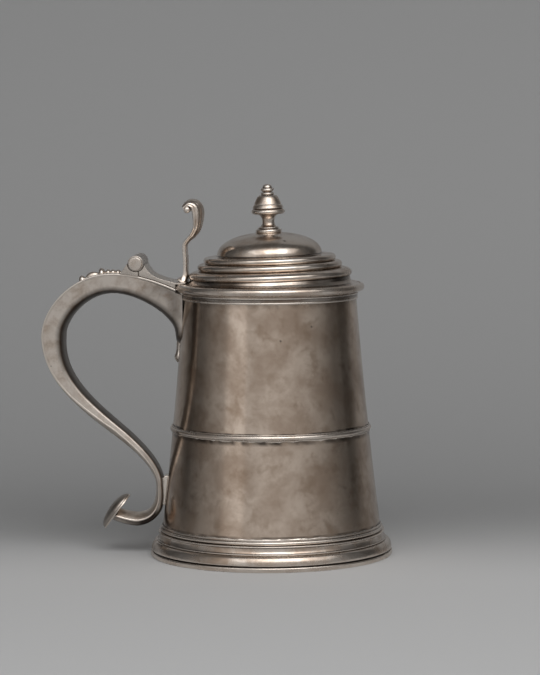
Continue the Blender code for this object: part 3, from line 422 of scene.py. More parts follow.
def darken_with_tarnish_and_shade(form, low, high, amount, fray=None, axis=2):
    """Marks the surface between two heights as darker, for tarnish and for painted shade, in patches of the
    size fray where it is given.
    """
    layers = form.verts.layers.float
    marks = layers.get("tarnish") or layers.new("tarnish")
    for corner in form.verts:
        if low < corner.co[axis] < high:
            patch = 0.6 + noise.noise(corner.co / fray) if fray else 1
            corner[marks] = max(corner[marks], amount * clamp(patch))


def ragged(form, height, amount):
    """Lets solder run out unevenly from an edge at a height; a negative amount runs downwards."""
    for corner in form.verts:
        if abs(corner.co.z - height) < SOLDER_EDGE:
            corner.co.z += amount * max(0, 0.2 + noise.noise(corner.co / SOLDER_RUN))


def mark_creases(mesh):
    """Stores how hollow (above 0) or proud (below 0) the surface is at each point, for soot and for wear."""
    count = len(mesh.vertices)
    places, normals, ends = np.empty((count, 3)), np.empty((count, 3)), np.empty((len(mesh.edges), 2), int)
    mesh.vertices.foreach_get("co", places.ravel())
    mesh.vertices.foreach_get("normal", normals.ravel())
    mesh.edges.foreach_get("vertices", ends.ravel())
    first, second = ends.T
    step = places[second] - places[first]
    span = np.maximum((step**2).sum(1), SHORTEST**2)
    start, end = (np.bincount(i, (normals[i] * step).sum(1) / span, count) for i in (first, second))
    crease = np.clip((start - end) * CREASE_REACH, -1, 1)
    links = np.bincount(first, minlength=count) + np.bincount(second, minlength=count)
    for _ in range(2):
        around = np.bincount(first, crease[second], count) + np.bincount(second, crease[first], count)
        crease = crease / 2 + around / np.maximum(links, 1) / 2
    store = mesh.attributes.new("crease", "FLOAT", "POINT")
    store.data.foreach_set("value", crease.astype(np.float32))


def placed(name, form, material):
    """A form as a new object of the scene."""
    mesh = bpy.data.meshes.new(name)
    form.to_mesh(mesh)
    form.free()
    mesh.shade_smooth()
    mesh.materials.append(material)
    piece = bpy.data.objects.new(name, mesh)
    bpy.context.scene.collection.objects.link(piece)
    return piece


def finish(name, form, metal, body, nodes, crisp=40, tarnish=0):
    """Makes the finished piece: faces outwards, on the tankard's axis, riding on its body for its nodes.

    crisp is the angle in degrees from which an edge looks sharp, and tarnish how dark the whole piece is.
    """
    if tarnish:
        darken_with_tarnish_and_shade(form, -1, 1, tarnish)
    bmesh.ops.remove_doubles(form, verts=form.verts, dist=MERGE)
    bmesh.ops.recalc_face_normals(form, faces=form.faces)
    bmesh.ops.translate(form, verts=form.verts, vec=AXIS)
    piece = placed(name, form, silver(metal))
    piece.data.set_sharp_from_angle(angle=math.radians(crisp))
    mark_creases(piece.data)
    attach(piece, body)
    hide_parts(*nodes)


# Finishes

FINISHES = {  # clean tone, cloud, cover, stain, rough, grain, relief, pit and wear, which silver() explains
    # sheet raised with the hammer and long unpolished: broad brown-grey clouds, blurred reflections
    "raised_silver": ("satin", 17, 0.5, 0.55, (0.11, 0.18), 2.2, 0.005, 14, 0.5),
    # raised sheet that is often handled: larger and thinner clouds
    "lid_silver": ("worn", 22, 0.45, 0.4, (0.13, 0.24), 2.0, 0.008, 26, 0.9),
    # drawn and scraped moulding: bright worn ridges between lines that stay black
    "moulded_silver": ("worn", 18, 0.45, 0.4, (0.16, 0.28), 1.6, 0.012, 16, 1.0),
    # formed sheet, satin from handling, with small pits and scuffs and bright edges
    "handle_silver": ("worn", 9, 0.26, 0.25, (0.26, 0.34), 1.3, 0.016, 9, 1.0),
    # cast and chased: a fine grain from the mould, bright on what stands out, black in the hollows
    "cast_silver": ("worn", 9, 0.45, 0.35, (0.18, 0.3), 0.9, 0.02, 8, 1.0),
    # unpolished sheet inside the cup and under the lid: dull, even and darker
    "inside_silver": ("satin", 36, 0.7, 0.6, (0.34, 0.46), 1.8, 0.015, 20, 0.3),
}


def add(tree, kind, links=None, output=0, **settings):
    """Adds a node and returns an output of it; links maps an input to a value or to another output."""
    node = tree.nodes.new(kind)
    for name, value in settings.items():
        setattr(node, name, value)
    for name, value in (links or {}).items():
        if isinstance(value, bpy.types.NodeSocket):
            tree.links.new(value, node.inputs[name])
        else:
            node.inputs[name].default_value = value
    return node.outputs[output] if node.outputs else None


def speckle(tree, place, millimetres, detail, rough, distortion=0.0):
    """Noise with marks of about this size."""
    scale = {"Vector": place, "Scale": 1 / (millimetres * MM)}
    kind = {"Detail": detail, "Roughness": rough, "Distortion": distortion}
    return add(tree, "ShaderNodeTexNoise", scale | kind)


def ranged(tree, value, low, high, start=0.0, end=1.0, kind="LINEAR"):
    """A value's way from low to high, as a way from start to end."""
    links = {"Value": value, "From Min": low, "From Max": high, "To Min": start, "To Max": end}
    return add(tree, "ShaderNodeMapRange", links, interpolation_type=kind)


def reckon(tree, operation, *values):
    return add(tree, "ShaderNodeMath", dict(enumerate(values)), operation=operation)


def blend(tree, share, under, over):
    """A colour laid over another by its share."""
    return add(tree, "ShaderNodeMix", {0: share, 6: under, 7: (*over, 1)}, 2, data_type="RGBA")


def new_material(name):
    material = bpy.data.materials.new(name)
    material.use_nodes = True
    material.node_tree.nodes.clear()
    return material, material.node_tree


def silver(name):
    """Silver with clouds of tarnish and brown stains, soot in its hollows, worn edges and small pits.

    cloud, grain and pit are the sizes of the marks and relief the height of the grain, in millimetres. cover
    and stain are the shares of the surface that are clouded and stained, rough is the roughness of clean and
    of tarnished metal, and wear how far the edges are rubbed bright.
    """
    if name in bpy.data.materials:
        return bpy.data.materials[name]
    clean, cloud, cover, stain, rough, grain, relief, pit, wear = FINISHES[name]
    tones = bpy.context.scene.tankard_silver
    material, tree = new_material(name)
    place = add(tree, "ShaderNodeTexCoord", output="Object")
    elsewhere = add(tree, "ShaderNodeMapping", {"Vector": place, "Location": (0.31, 0.17, 0.05)})
    crease = add(tree, "ShaderNodeAttribute", output="Fac", attribute_name="crease")
    tarnish_and_shade_share = add(tree, "ShaderNodeAttribute", output="Fac", attribute_name="tarnish")

    clouds = speckle(tree, place, cloud, 8, 0.62, 0.2)
    half_clouded = 0.68 - 0.36 * cover  # the noise's value at the middle of a cloud's soft edge
    clouded = ranged(tree, clouds, half_clouded - 0.17, half_clouded + 0.17, kind="SMOOTHSTEP")
    stains = speckle(tree, elsewhere, cloud / 1.7, 6, 0.6, 0.2)
    stained = ranged(tree, stains, 0.47, 0.72, 0, stain, "SMOOTHSTEP")
    grains = speckle(tree, place, grain, 4, 0.65)
    spots = {"Vector": elsewhere, "Scale": 1 / (pit * MM), "Randomness": 1}
    pits = add(tree, "ShaderNodeTexVoronoi", spots, "Distance")
    pitted = ranged(tree, pits, 0.02, 0.05, 0.8, 0)  # within a small share of the pits' spacing
    sooty = ranged(tree, crease, 0.12, 0.6, 0, 0.95)
    rubbed = ranged(tree, crease, -0.06, -0.45, 0, wear)
    # The tarnish attribute darkens towards soot: tarnish, and painted shade under the lip, round the wires
    # and foot, in the lid's cavetto and on the handle's inner side and curl.
    dark = reckon(tree, "MULTIPLY_ADD", tarnish_and_shade_share, 0.8, reckon(tree, "MAXIMUM", sooty, pitted))
    dark = reckon(tree, "MINIMUM", dark, 0.97)

    tone = (*getattr(tones, clean), 1)
    layers = (clouded, tones.cloud), (stained, tones.stain), (rubbed, tones.worn), (dark, tones.soot)
    for share, over in layers:
        tone = blend(tree, share, tone, over)
    gloss = ranged(tree, reckon(tree, "MAXIMUM", clouded, dark), 0, 1, *rough)
    gloss = reckon(tree, "MULTIPLY_ADD", grains, 0.08, gloss)
    height = reckon(tree, "MULTIPLY_ADD", pitted, -2.0, grains)  # pits are deeper than the grain
    bump = add(tree, "ShaderNodeBump", {"Strength": 1, "Distance": relief * MM, "Height": height})
    metal = {"Base Color": tone, "Metallic": 1, "Roughness": gloss, "Normal": bump}
    add(tree, "ShaderNodeOutputMaterial", {"Surface": add(tree, "ShaderNodeBsdfPrincipled", metal)})
    return material


# The body, its floor, its foot and its wires

SEAM = 0.25 * MM  # a soldered joint's dark line
# Bands of the body darkened round its joints: tarnish, and painted shade next to the wires and the foot and
# under the lip.
BODY_TARNISH_AND_SHADE = (  # from, to, amount and the size of its patches
    (BAND_LOW - 2 * MM, BAND_HIGH + 0.8 * MM, 1.1, 4 * MM),  # along the middle wire
    (BODY_END, FOOT_HEIGHT + 1.2 * MM, 0.8, 4 * MM),  # over the foot
    (RIM_LOW - 0.8 * MM, LIP_HEIGHT, 0.5, 3 * MM),  # under the lip
)


class TANKARD_OT_body(bpy.types.Operator):
    """Raise the flaring side and let the domed floor into it"""

    bl_idname = "tankard.body"
    bl_label = "Body and Floor"

    def execute(self, context):
        sizes = context.scene.tankard_body
        near = np.linspace(-3, 3, 13) * MM
        wire, joint = (BAND_LOW + BAND_HIGH) / 2 + near, FOOT_HEIGHT + near
        heights = np.unique(np.concatenate([np.linspace(BODY_END, LIP_HEIGHT, 64), wire, joint]))[::-1]
        outer = [(side_radius(z), z) for z in heights]
        inner = [(side_radius(z) - sizes.gauge, z) for z in heights[::-2]]
        form = hand_turned(outer + inner, sizes.gauge / 3, sizes.unevenness, sizes.wave)
        for band in BODY_TARNISH_AND_SHADE:
            darken_with_tarnish_and_shade(form, *band)
        finish("body_side", form, "raised_silver", "mug", ["body_wall"])

        edge = side_radius(FLOOR_LOW) - sizes.gauge - SEAM
        spots = np.linspace(0, 1, 24)
        rise = [sizes.floor_rise * (1 - s * s) for s in spots]
        upper = [(edge * s, FLOOR_LOW + sizes.gauge + lift) for s, lift in zip(spots, rise)]
        lower = [(edge * s, FLOOR_LOW + lift) for s, lift in zip(spots[::-1], rise[::-1])]
        form = turned(upper + lower, closed=False)
        finish("body_bottom", form, "inside_silver", "mug", ["body_floor"])
        return {"FINISHED"}


class TANKARD_OT_foot(bpy.types.Operator):
    """Turn the moulded base: fillet, astragal, hollow, ovolo and plinth"""

    bl_idname = "tankard.foot"
    bl_label = "Foot"

    def execute(self, context):
        sizes = context.scene.tankard_foot
        ovolo_top = sizes.plinth_height + sizes.ovolo_height
        hollow_top = ovolo_top + sizes.hollow_height
        groove = sizes.groove / 2
        ovolo_radius = FOOT_RADIUS - sizes.ovolo_set_back

        def seat(height):
            return side_radius(height) + SEAM

        top = seat(FOOT_HEIGHT)
        outline = [(top, FOOT_HEIGHT), (top + groove, FOOT_HEIGHT - groove / 2)]
        outline.append((top + groove, FOOT_HEIGHT - sizes.fillet))
        ends = (FOOT_HEIGHT - sizes.fillet - groove, hollow_top + groove)
        outline += bead(*[(seat(z) + groove, z) for z in ends], sizes.astragal_proud)

        lip = seat(hollow_top) + sizes.hollow_proud
        low_fillet = ovolo_top + sizes.fillet
        outline += [(seat(hollow_top) + groove, hollow_top), (lip, hollow_top - groove / 2)]
        outline.append((lip, hollow_top - sizes.fillet))
        drop = hollow_top - sizes.fillet - low_fillet
        deepest = lip - sizes.hollow_depth
        width = ovolo_radius - groove - deepest
        outline += arc((deepest + width, low_fillet + drop), (width, drop), 180, 270)
        outline += [(ovolo_radius - groove, ovolo_top + groove), (ovolo_radius - sizes.groove, ovolo_top)]

        drop = sizes.ovolo_height - 1.3 * sizes.groove
        outline += arc((ovolo_radius, ovolo_top - drop), (sizes.ovolo_set_back - groove, drop), 90, 0, 16)
        deep = FOOT_RADIUS - 2 * sizes.groove
        outline += [(deep, ovolo_top - drop - groove), (deep, sizes.plinth_height)]
        outline += [(FOOT_RADIUS - groove, sizes.plinth_height), (FOOT_RADIUS, sizes.plinth_height - groove)]
        outline += [(FOOT_RADIUS, groove), (FOOT_RADIUS - groove, 0)]
        outline += [(FOOT_RADIUS - sizes.wall, 0), (FOOT_RADIUS - sizes.wall, sizes.plinth_height)]
        outline += [(seat(ovolo_top), ovolo_top), (seat(hollow_top), hollow_top)]
        form = hand_turned(outline, corner=0.28 * MM, height=0.05 * MM, wave=11 * MM)
        ragged(form, FOOT_HEIGHT, 0.7 * MM)
        # Darkens the groove under the ovolo's widest point: painted shade under its overhang, with tarnish.
        darken_with_tarnish_and_shade(form, ovolo_top - drop - sizes.groove, ovolo_top - drop - 0.1 * MM, 0.9)
        finish("foot", form, "moulded_silver", "mug", ["foot_moulding"])
        return {"FINISHED"}


class TANKARD_OT_wires(bpy.types.Operator):
    """Turn the half-round wire round the middle and the moulded wire at the lip"""

    bl_idname = "tankard.wires"
    bl_label = "Middle and Rim Wires"

    def execute(self, context):
        width = BAND_HIGH - BAND_LOW
        proud = half_width("mid_band") - side_radius((BAND_LOW + BAND_HIGH) / 2) - SEAM
        step, fillet = proud / 3, width / 6
        high, low = (side_radius(z) + SEAM for z in (BAND_HIGH, BAND_LOW))
        outline = [(high, BAND_HIGH), (high + step, BAND_HIGH)]
        outline += bead((high + step, BAND_HIGH - fillet), (low + step, BAND_LOW + fillet), proud - step)
        outline += [(low + step, BAND_LOW), (low, BAND_LOW)]
        form = hand_turned(outline, corner=0.15 * MM, height=0.05 * MM, wave=8 * MM)
        ragged(form, BAND_LOW, -0.8 * MM)
        finish("middle_wire", form, "moulded_silver", "mug", ["mid_band"])

        proud = RIM_RADIUS - side_radius(LIP_HEIGHT) - SEAM
        inset, fillet = proud / 3, (RIM_HIGH - RIM_LOW) / 5
        bead_top = RIM_LOW + 1.6 * fillet
        outline = [(side_radius(RIM_HIGH) + SEAM, RIM_HIGH), (RIM_RADIUS, RIM_HIGH)]
        outline += [(RIM_RADIUS, RIM_HIGH - fillet), (RIM_RADIUS - inset, RIM_HIGH - fillet)]
        outline += bead((RIM_RADIUS - inset, bead_top), (RIM_RADIUS - inset, RIM_LOW), inset)
        outline.append((side_radius(RIM_LOW) + SEAM, RIM_LOW))
        form = hand_turned(outline, corner=0.15 * MM, height=0.03 * MM, wave=8 * MM)
        finish("rim_wire", form, "moulded_silver", "mug", ["rim_moulding"])
        return {"FINISHED"}


# The handle


class Station:
    """One place along the handle's back: its point and heading, then its width, depth, ridge and lift.

    ridge is how far the strip's edges lie below its middle, lift how far the back stands above the point.
    """

    def __init__(self, point, along, *sizes):
        self.point, self.along, self.sizes = point, along, sizes
        self.inward = Vector((-along.z, 0, along.x))
        self.width, self.depth, self.ridge, self.lift = sizes

    def at(self, depth, across):
        return self.point + self.inward * depth + Vector((0, across, 0))

    def between(self, other, s):
        along = self.along.lerp(other.along, s).normalized()
        sizes = [a + (b - a) * s for a, b in zip(self.sizes, other.sizes)]
        return Station(self.point.lerp(other.point, s), along, *sizes)


# Sizes at the lid's edge, the arch, the reach, the sweep, the strut, the curl and the end
WIDTHS = [w * MM for w in (24, 25, 22, 17, 14, 14, 14)]
DEPTHS = [d * MM for d in (13.8, 11.6, 12.6, 7.4, 4.0, 7.6, 6.8)]
RIDGES = [r * MM for r in (0, 0, 0, 3.2, 1.6, 3.7, 3.4)]
EASING = (3.5, 1, 1, 0.8, 1, 1)  # how soon the depth changes along each stretch
PULLS = (0.35, 0.54, 0.46, 0.46, 0.35, 0.56, 0.3)  # shares of a span over which the curve keeps its heading
STRETCH_STEPS = (16, 26, 26, 18, 16, 8)
ROOT_STEPS = 16
ROOT_SPLAY = 0.34  # how fast the grip deepens towards the body
ROOT_FLARE = 5.5 * MM  # and how far it runs down the body where they meet
END_SHARE = 0.3  # width of a narrower ring on the body, so that the handle's end follows it
SHALLOW, DEEP = 7 * MM, 11 * MM  # depths between which the grip's lower corner moves
OVERHANG = 0.15 * MM  # how far the strip's edges stand out beyond the grip
CROSS_STEPS = 13  # points across a flat face of the grip or the strip
# Darkening of the grip near its root under the lid: tarnish and painted shade.
GRIP_TARNISH_AND_SHADE = ((18, 0.4), (9, 0.8))  # millimetres out from the lid's edge, and amount


def heading(angle):
    return Vector((math.cos(angle), 0, math.sin(angle)))


def handle_stations(sizes):
    """Stations along the back, from inside the body over the arch, down the sweep and round the curl."""
    lip = side_radius(LIP_HEIGHT)
    edge = Vector((-LID_RADIUS - sizes.edge_drop, 0, LID_SEAT - sizes.edge_drop))
    arch = Vector((-lip - sizes.arch_out, 0, LIP_HEIGHT + sizes.arch_rise))
    reach = Vector((-HANDLE_REACH, 0, LIP_HEIGHT - sizes.reach_drop))
    sweep = Vector((-side_radius(sizes.sweep_height) - sizes.sweep_out, 0, sizes.sweep_height))
    strut_x = -side_radius(sizes.strut_height) - sizes.strut_gap - DEPTHS[4]
    strut = Vector((strut_x, 0, sizes.strut_height))
    curl = strut + Vector((-sizes.curl_out, 0, -sizes.curl_drop))
    tail = curl + Vector((-sizes.curl_tail, 0, sizes.curl_lift))
    points = (edge, arch, reach, sweep, strut, curl, tail)
    level, plumb = math.pi, 1.5 * math.pi
    turns = (level - sizes.slope, level, plumb, -sizes.sweep_slope, plumb, level, level - sizes.curl_slope)
    spans = [edge.x - arch.x, arch.x - reach.x, arch.z - reach.z, reach.z - sweep.z, sweep.z - strut.z]
    spans += [sizes.curl_drop, sizes.curl_tail]
    rise, over, down, into, out_of, bend, tip = (span * share for span, share in zip(spans, PULLS))
    pulls = ((rise, rise), (over, down), (into, into), (out_of, out_of), (bend, bend), (tip, tip))

    first = heading(turns[0])
    stations = []
    for s in np.linspace(1, 0, ROOT_STEPS + 1):
        inside = sizes.root * s
        depth = DEPTHS[0] + ROOT_SPLAY * inside + ROOT_FLARE * min(1.5 * s, 1) ** 4.2
        stations.append(Station(edge - first * inside, first, WIDTHS[0], depth, 0, sizes.lift))
    for i, count in enumerate(STRETCH_STEPS):
        start, end = points[i], points[i + 1]
        after = start + heading(turns[i]) * pulls[i][0]
        before = end - heading(turns[i + 1]) * pulls[i][1]
        curve = interpolate_bezier(start, after, before, end, count + 1)
        for j in range(1, count + 1):
            ahead = curve[min(j + 1, count)]
            along = (ahead - curve[j - 1]).normalized() if j < count else heading(turns[i + 1])
            s = j / count
            width, ridge = (row[i] + (row[i + 1] - row[i]) * s for row in (WIDTHS, RIDGES))
            depth = DEPTHS[i + 1] + (DEPTHS[i] - DEPTHS[i + 1]) * (1 - s) ** EASING[i]
            lift = 0 if i else sizes.lift * (1 - s) ** 0.7 * (1 - s * s)
            stations.append(Station(curve[j], along, width, depth, ridge, lift))
    return stations


def back_height(x, stations):
    """Height of the handle's flat back above this x, between the lip and the outermost point."""
    lowest = min(range(len(stations)), key=lambda i: stations[i].point.x)
    upper = [station.at(-station.lift, 0) for station in stations[lowest::-1]]
    return float(np.interp(x, [point.x for point in upper], [point.z for point in upper]))


def grip_section(station, strip):
    """Half of the grip's section, from the strip's edge to the middle: (depth, half width, darkness for
    tarnish and for painted shade on the inner side).
    """
    deep, half = station.depth, station.width / 2
    top = station.ridge + min(strip, 0.12 * deep)
    corner = deep * (0.78 + 0.12 * clamp((DEEP - deep) / (DEEP - SHALLOW)))
    side = [(top, half), (corner, 0.965 * half), ((corner + 3 * deep) / 4, 0.62 * half), (deep, 0.0)]
    soft = soften(side, 0.2 * deep, 6, 179.9)
    # Darkness from just short of the rounded corner inwards: painted shade on the inner side and over the
    # corner's highlight, with tarnish.
    return [(d - station.lift * (1 - d / deep), w, clamp(6 * d / corner - 5.2)) for d, w in soft]


def strip_section(station, strip):
    """The back strip's section: flat above, crowned along the lower sweep, with its edges standing out."""
    half = station.width / 2 + OVERHANG
    low = station.ridge + min(strip, 0.12 * station.depth) - SEAM / 10
    crown = [(station.ridge * (w / half) ** 2, w) for w in np.linspace(-half, half, CROSS_STEPS)]
    outline = crown + [(low, w) for w in np.linspace(half, -half, CROSS_STEPS)]
    middle_first = outline[CROSS_STEPS // 2 :] + outline[: CROSS_STEPS // 2 + 1]
    return [(d - station.lift, w) for d, w in soften(middle_first, 0.3 * MM)[:-1]]


def wall_limit(height):
    """Radius at which something meets the body from outside: its side, or the rim's wire."""
    return RIM_RADIUS + SEAM / 4 if height > RIM_LOW - SEAM / 2 else side_radius(height) + SEAM / 10


def crossing(path, limit):
    """Where a path from inside comes out beyond limit, a radius for each height: its leg and the point."""
    leg = max((i for i, point in enumerate(path[:-1]) if point.xy.length < limit(point.z)), default=0)
    low, high = 0.0, 1.0
    for _ in range(24):
        s = (low + high) / 2
        point = path[leg].lerp(path[leg + 1], s)
        if point.xy.length < limit(point.z):
            low = s
        else:
            high = s
    return leg, path[leg].lerp(path[leg + 1], high)


def spread(path, count):
    """Points at even steps along a path."""
    travelled = np.cumsum([0] + [(b - a).length for a, b in zip(path, path[1:])])
    spots = np.linspace(0, travelled[-1], count)
    return [Vector(np.interp(spot, travelled, [p[i] for p in path]) for i in range(3)) for spot in spots]


def shield_frame(stations, sizes):
    """Middle of the shield's seat, the way it faces and the way up along it."""
    tail = stations[-1]
    centre = tail.at(tail.depth / 4, 0) - tail.along * sizes.inset
    facing = Vector((-math.sin(sizes.lean), 0, math.cos(sizes.lean)))
    return centre, facing, Vector((math.cos(sizes.lean), 0, math.sin(sizes.lean)))


def fitted(rings, seat, facing):
    """Rings of a handle piece, cut to the lid and the body at one end and to the shield at the other."""
    reach, under = LID_RADIUS + SEAM, min(LID_SEAT - SEAM, LIP_HEIGHT)
    clear = 2 + next(i for i, ring in enumerate(rings) if all(point.xy.length > reach for point in ring))
    columns = []
    for path in zip(*rings[: clear + 1]):
        leg, edge = crossing(path, lambda z: reach)
        low = [Vector((point.x, point.y, min(point.z, under))) for point in (*path[: leg + 1], edge)]
        inside, start = crossing(low, wall_limit)
        root = spread([start] + low[inside + 1 :], ROOT_STEPS)
        columns.append(root + spread([edge, *path[leg + 1 :]], ROOT_STEPS))
    kept = [list(ring) for ring in zip(*columns)] + rings[clear + 1 :]
    end = []
    for point in kept[0]:
        across = point.y * END_SHARE
        end.append(Vector((-math.sqrt(point.xy.length_squared - across**2), across, point.z)))
    kept.insert(0, end)
    while all((point - seat).dot(facing) > 0 for point in kept[-2]):
        kept.pop()
    last = []
    for before, after in zip(kept[-2], kept[-1]):
        ahead = (after - before).dot(facing)
        s = -(before - seat).dot(facing) / ahead if ahead > 0 else 1
        last.append(before.lerp(after, clamp(s)))
    return kept[:-1] + [last]


class TANKARD_OT_handle(bpy.types.Operator):
    """Form the grip and the strip that closes its back"""

    bl_idname = "tankard.handle"
    bl_label = "Handle"

    def execute(self, context):
        sizes = context.scene.tankard_handle
        stations = handle_stations(sizes)
        seat, facing, _ = shield_frame(stations, context.scene.tankard_terminal)
        grip_rings, strip_rings = [], []
        for station in stations:
            half = grip_section(station, sizes.strip)
            section = [(d, -w) for d, w, _ in half] + [(d, w) for d, w, _ in half[-2::-1]]
            section += [(half[0][0], w) for w in half[0][1] * np.linspace(1, -1, CROSS_STEPS)[1:-1]]
            grip_rings.append([station.at(d, w) for d, w in section])
            strip_rings.append([station.at(d, w) for d, w in strip_section(station, sizes.strip)])
        # Each ring's darkness from grip_section: painted shade on the inner side, with tarnish.
        tarnish = [t for _, _, t in half]
        form = lofted(fitted(grip_rings, seat, facing), tarnish + tarnish[-2::-1])
        unsteady(form, height=0.06 * MM, wave=14 * MM)
        # The curl below the strut is darkened: painted shade on its underside, with tarnish.
        darken_with_tarnish_and_shade(form, 0, sizes.strut_height - 8 * MM, 1.4, fray=9 * MM)
        # The grip's root is darkened: painted shade under the lid's edge, with tarnish.
        for out, amount in GRIP_TARNISH_AND_SHADE:
            darken_with_tarnish_and_shade(form, -LID_RADIUS - out * MM, 0, amount, fray=12 * MM, axis=0)
        finish("handle_grip", form, "handle_silver", "mug", ["handle_channel"])
        form = lofted(fitted(strip_rings, seat, facing))
        unsteady(form, height=0.05 * MM, wave=12 * MM)
        finish("handle_strip", form, "handle_silver", "mug", ["handle_back"])
        return {"FINISHED"}


ORNAMENT_MEMBERS = (  # start, end, height and breadth of each lobe along the cast drop, from the hinge
    (0.03, 0.15, 0.55, 1.5),
    (0.14, 0.26, 0.6, 1.5),
    (0.25, 0.37, 0.62, 1.4),
    (0.38, 0.53, 1.0, 1.15),
    (0.54, 0.84, 0.72, 1.0),
    (0.85, 1.0, 0.85, 1.05),
)
HALF_ROUND = np.radians(np.linspace(0, 180, 21))  # angles round a section that lies on a surface
DROP_START = -0.2  # the body's drop runs on up under the grip by this share of its length
BULB_PLACE, BULB_SIZE = 0.78, 0.16  # of its bulb, as shares of its length
DROP_WIDTHS = (0.98, -0.56, 0.28)  # share of its width at the top, change along it and swelling at the bulb
DROP_DEPTHS = (0.78, -0.15, 0.37)  # and the same of its depth
PAD_NUB = 1.2 * MM  # the small step on top of the lower pad
PAD_BITE = 0.92  # share of the grip's depth at which the pad ends inside it


class TANKARD_OT_mounts(bpy.types.Operator):
    """Shape the cast drop on the handle, the drop on the body and the pad at the lower joint"""

    bl_idname = "tankard.mounts"
    bl_label = "Handle Mounts"

    def execute(self, context):
        stations = handle_stations(context.scene.tankard_handle)
        self.ornament(context.scene.tankard_hinge, stations)
        self.body_drop()
        self.strut(stations)
        return {"FINISHED"}

    def ornament(self, sizes, stations):
        start = PIVOT.x - sizes.leaf_length - SEAM
        path = [s for s in stations if s.point.x < start]
        before = stations[stations.index(path[0]) - 1]
        lead = (before.point.x - start) / (before.point.x - path[0].point.x)
        path.insert(0, before.between(path[0], lead))
        travelled = np.cumsum([0] + [(b.point - a.point).length for a, b in zip(path, path[1:])])
        rings = []
        for s in np.linspace(0, 1, 100):
            i = int(np.clip(np.searchsorted(travelled, s * sizes.ornament_length), 1, len(path) - 1))
            share_between = (s * sizes.ornament_length - travelled[i - 1]) / (travelled[i] - travelled[i - 1])
            spot = path[i - 1].between(path[i], share_between)
            tall, wide = 0.22, 0.5
            for first, last, height, breadth in ORNAMENT_MEMBERS:
                inside = 1 - ((2 * s - first - last) / (last - first)) ** 2
                if inside > 0:
                    tall = max(tall, height * inside**0.5)
                    wide = max(wide, breadth * height * inside**0.4)
            tall, wide = tall * sizes.ornament_radius, wide * sizes.ornament_radius
            foot = SEAM / 4 - spot.lift
            rings.append([spot.at(foot - tall * math.sin(a), wide * math.cos(a)) for a in HALF_ROUND])
        finish("handle_drop", lofted(rings), "cast_silver", "mug", ["handle_ornament"], 60)

    def body_drop(self):
        low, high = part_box("body_drop")
        longest, widest = high.z - low.z, high.y - low.y
        proud = (AXIS.x - low.x - side_radius(low.z + longest * (1 - BULB_PLACE))) / 1.1
        rings = []
        for s in np.linspace(DROP_START, 1, 80):
            height = high.z - longest * s
            bulb = math.exp(-(((s - BULB_PLACE) / BULB_SIZE) ** 2))
            close = math.sqrt(max(1 - max(s, 0) ** 10, 0.004))
            taper = np.array((1, max(s, 0), bulb))
            wide = widest * taper.dot(DROP_WIDTHS) * close
            thick = proud * taper.dot(DROP_DEPTHS) * close
            radius = side_radius(height) + SEAM / 4
            ring = []
            for a in HALF_ROUND:
                across = wide / 2 * math.cos(a)
                ring.append(Vector((-math.sqrt(radius**2 - across**2) - thick * math.sin(a), across, height)))
            rings.append(ring)
        finish("joint_drop", lofted(rings), "cast_silver", "mug", ["body_drop"], 60)

    def strut(self, stations):
        low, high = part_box("lower_strut")
        sweep = ROOT_STEPS + sum(STRETCH_STEPS[:3])
        curl = sweep + sum(STRETCH_STEPS[3:5])
        grip = [s.at(s.depth * PAD_BITE, 0) for s in stations[curl:sweep:-1]]
        heights = np.linspace(high.z, low.z, 16)
        left = [(np.interp(z, [p.z for p in grip], [p.x for p in grip]), z) for z in heights]
        right = [(-side_radius(z) + SEAM, z) for z in np.linspace(low.z, high.z + PAD_NUB, 10)]
        shoulder = -side_radius(high.z) - 1.6 * PAD_NUB
        outline = left + right + [(shoulder, high.z + PAD_NUB), (shoulder - PAD_NUB / 2, high.z)]
        form = slab(outline, high.y - low.y, 0.35 * MM, 4)
        finish("joint_pad", form, "cast_silver", "mug", ["lower_strut"])


SHIELD_ROUND = (2.0, 1)  # exponent and stretch of the shield's round half
SHIELD_POINT = (1.05, 1.12)  # and of its pointed half


class TANKARD_OT_terminal(bpy.types.Operator):
    """Dome the pointed shield and lay it on the plate that closes the handle's end"""

    bl_idname = "tankard.terminal"
    bl_label = "Shield"

    def execute(self, context):
        sizes = context.scene.tankard_terminal
        stations = handle_stations(context.scene.tankard_handle)
        centre, facing, upward = shield_frame(stations, sizes)

        def ring(lift, scale):
            """The shield's outline, round above and drawn to a point below."""
            points = []
            for angle in np.linspace(0, 2 * math.pi, 64, endpoint=False):
                up, across = math.cos(angle), math.sin(angle)
                power, stretch = SHIELD_POINT if up < 0 else SHIELD_ROUND
                tall = math.copysign(abs(up) ** (2 / power), up) * sizes.tall / 2 * stretch
                wide = math.copysign(abs(across) ** (2 / max(power, 1.6)), across) * sizes.wide / 2
                spot = centre + facing * lift + upward * (tall * scale)
                points.append(spot + Vector((0, wide * scale, 0)))
            return points

        back, front = SEAM, SEAM + sizes.plate
        edge = sizes.plate / 4
        rings = [ring(back, 0.98), ring(back + edge, 1.0), ring(front - edge, 1.0), ring(front, 0.98)]
        finish("shield_plate", lofted(rings), "handle_silver", "mug", ["terminal_plate"])
        rings = [ring(front, 0.95)]
        for s in np.sin(np.linspace(0.06, 0.98, 14) * math.pi / 2):
            rings.append(ring(front + sizes.bulge * s, 0.97 * math.sqrt(1 - s**2)))
        finish("shield", lofted(rings), "handle_silver", "mug", ["terminal_dome"], 60, 0.6)
        return {"FINISHED"}


# The hinge

CAP_SHARE = 0.84  # radius of the caps as a share of the knuckles'
SADDLE_ARC = (180, 287)  # degrees round the pin that the handle's saddle takes
PLATE_ARC = (290.5, 350)  # and those that the lid's plate takes


def round_pin(start, end, steps):
    """An arc of (x, z) points round the pin that clears the knuckles."""
    reach = KNUCKLE_RADIUS + SEAM
    return arc((PIVOT.x, PIVOT.z), (reach, reach), start, end, steps)


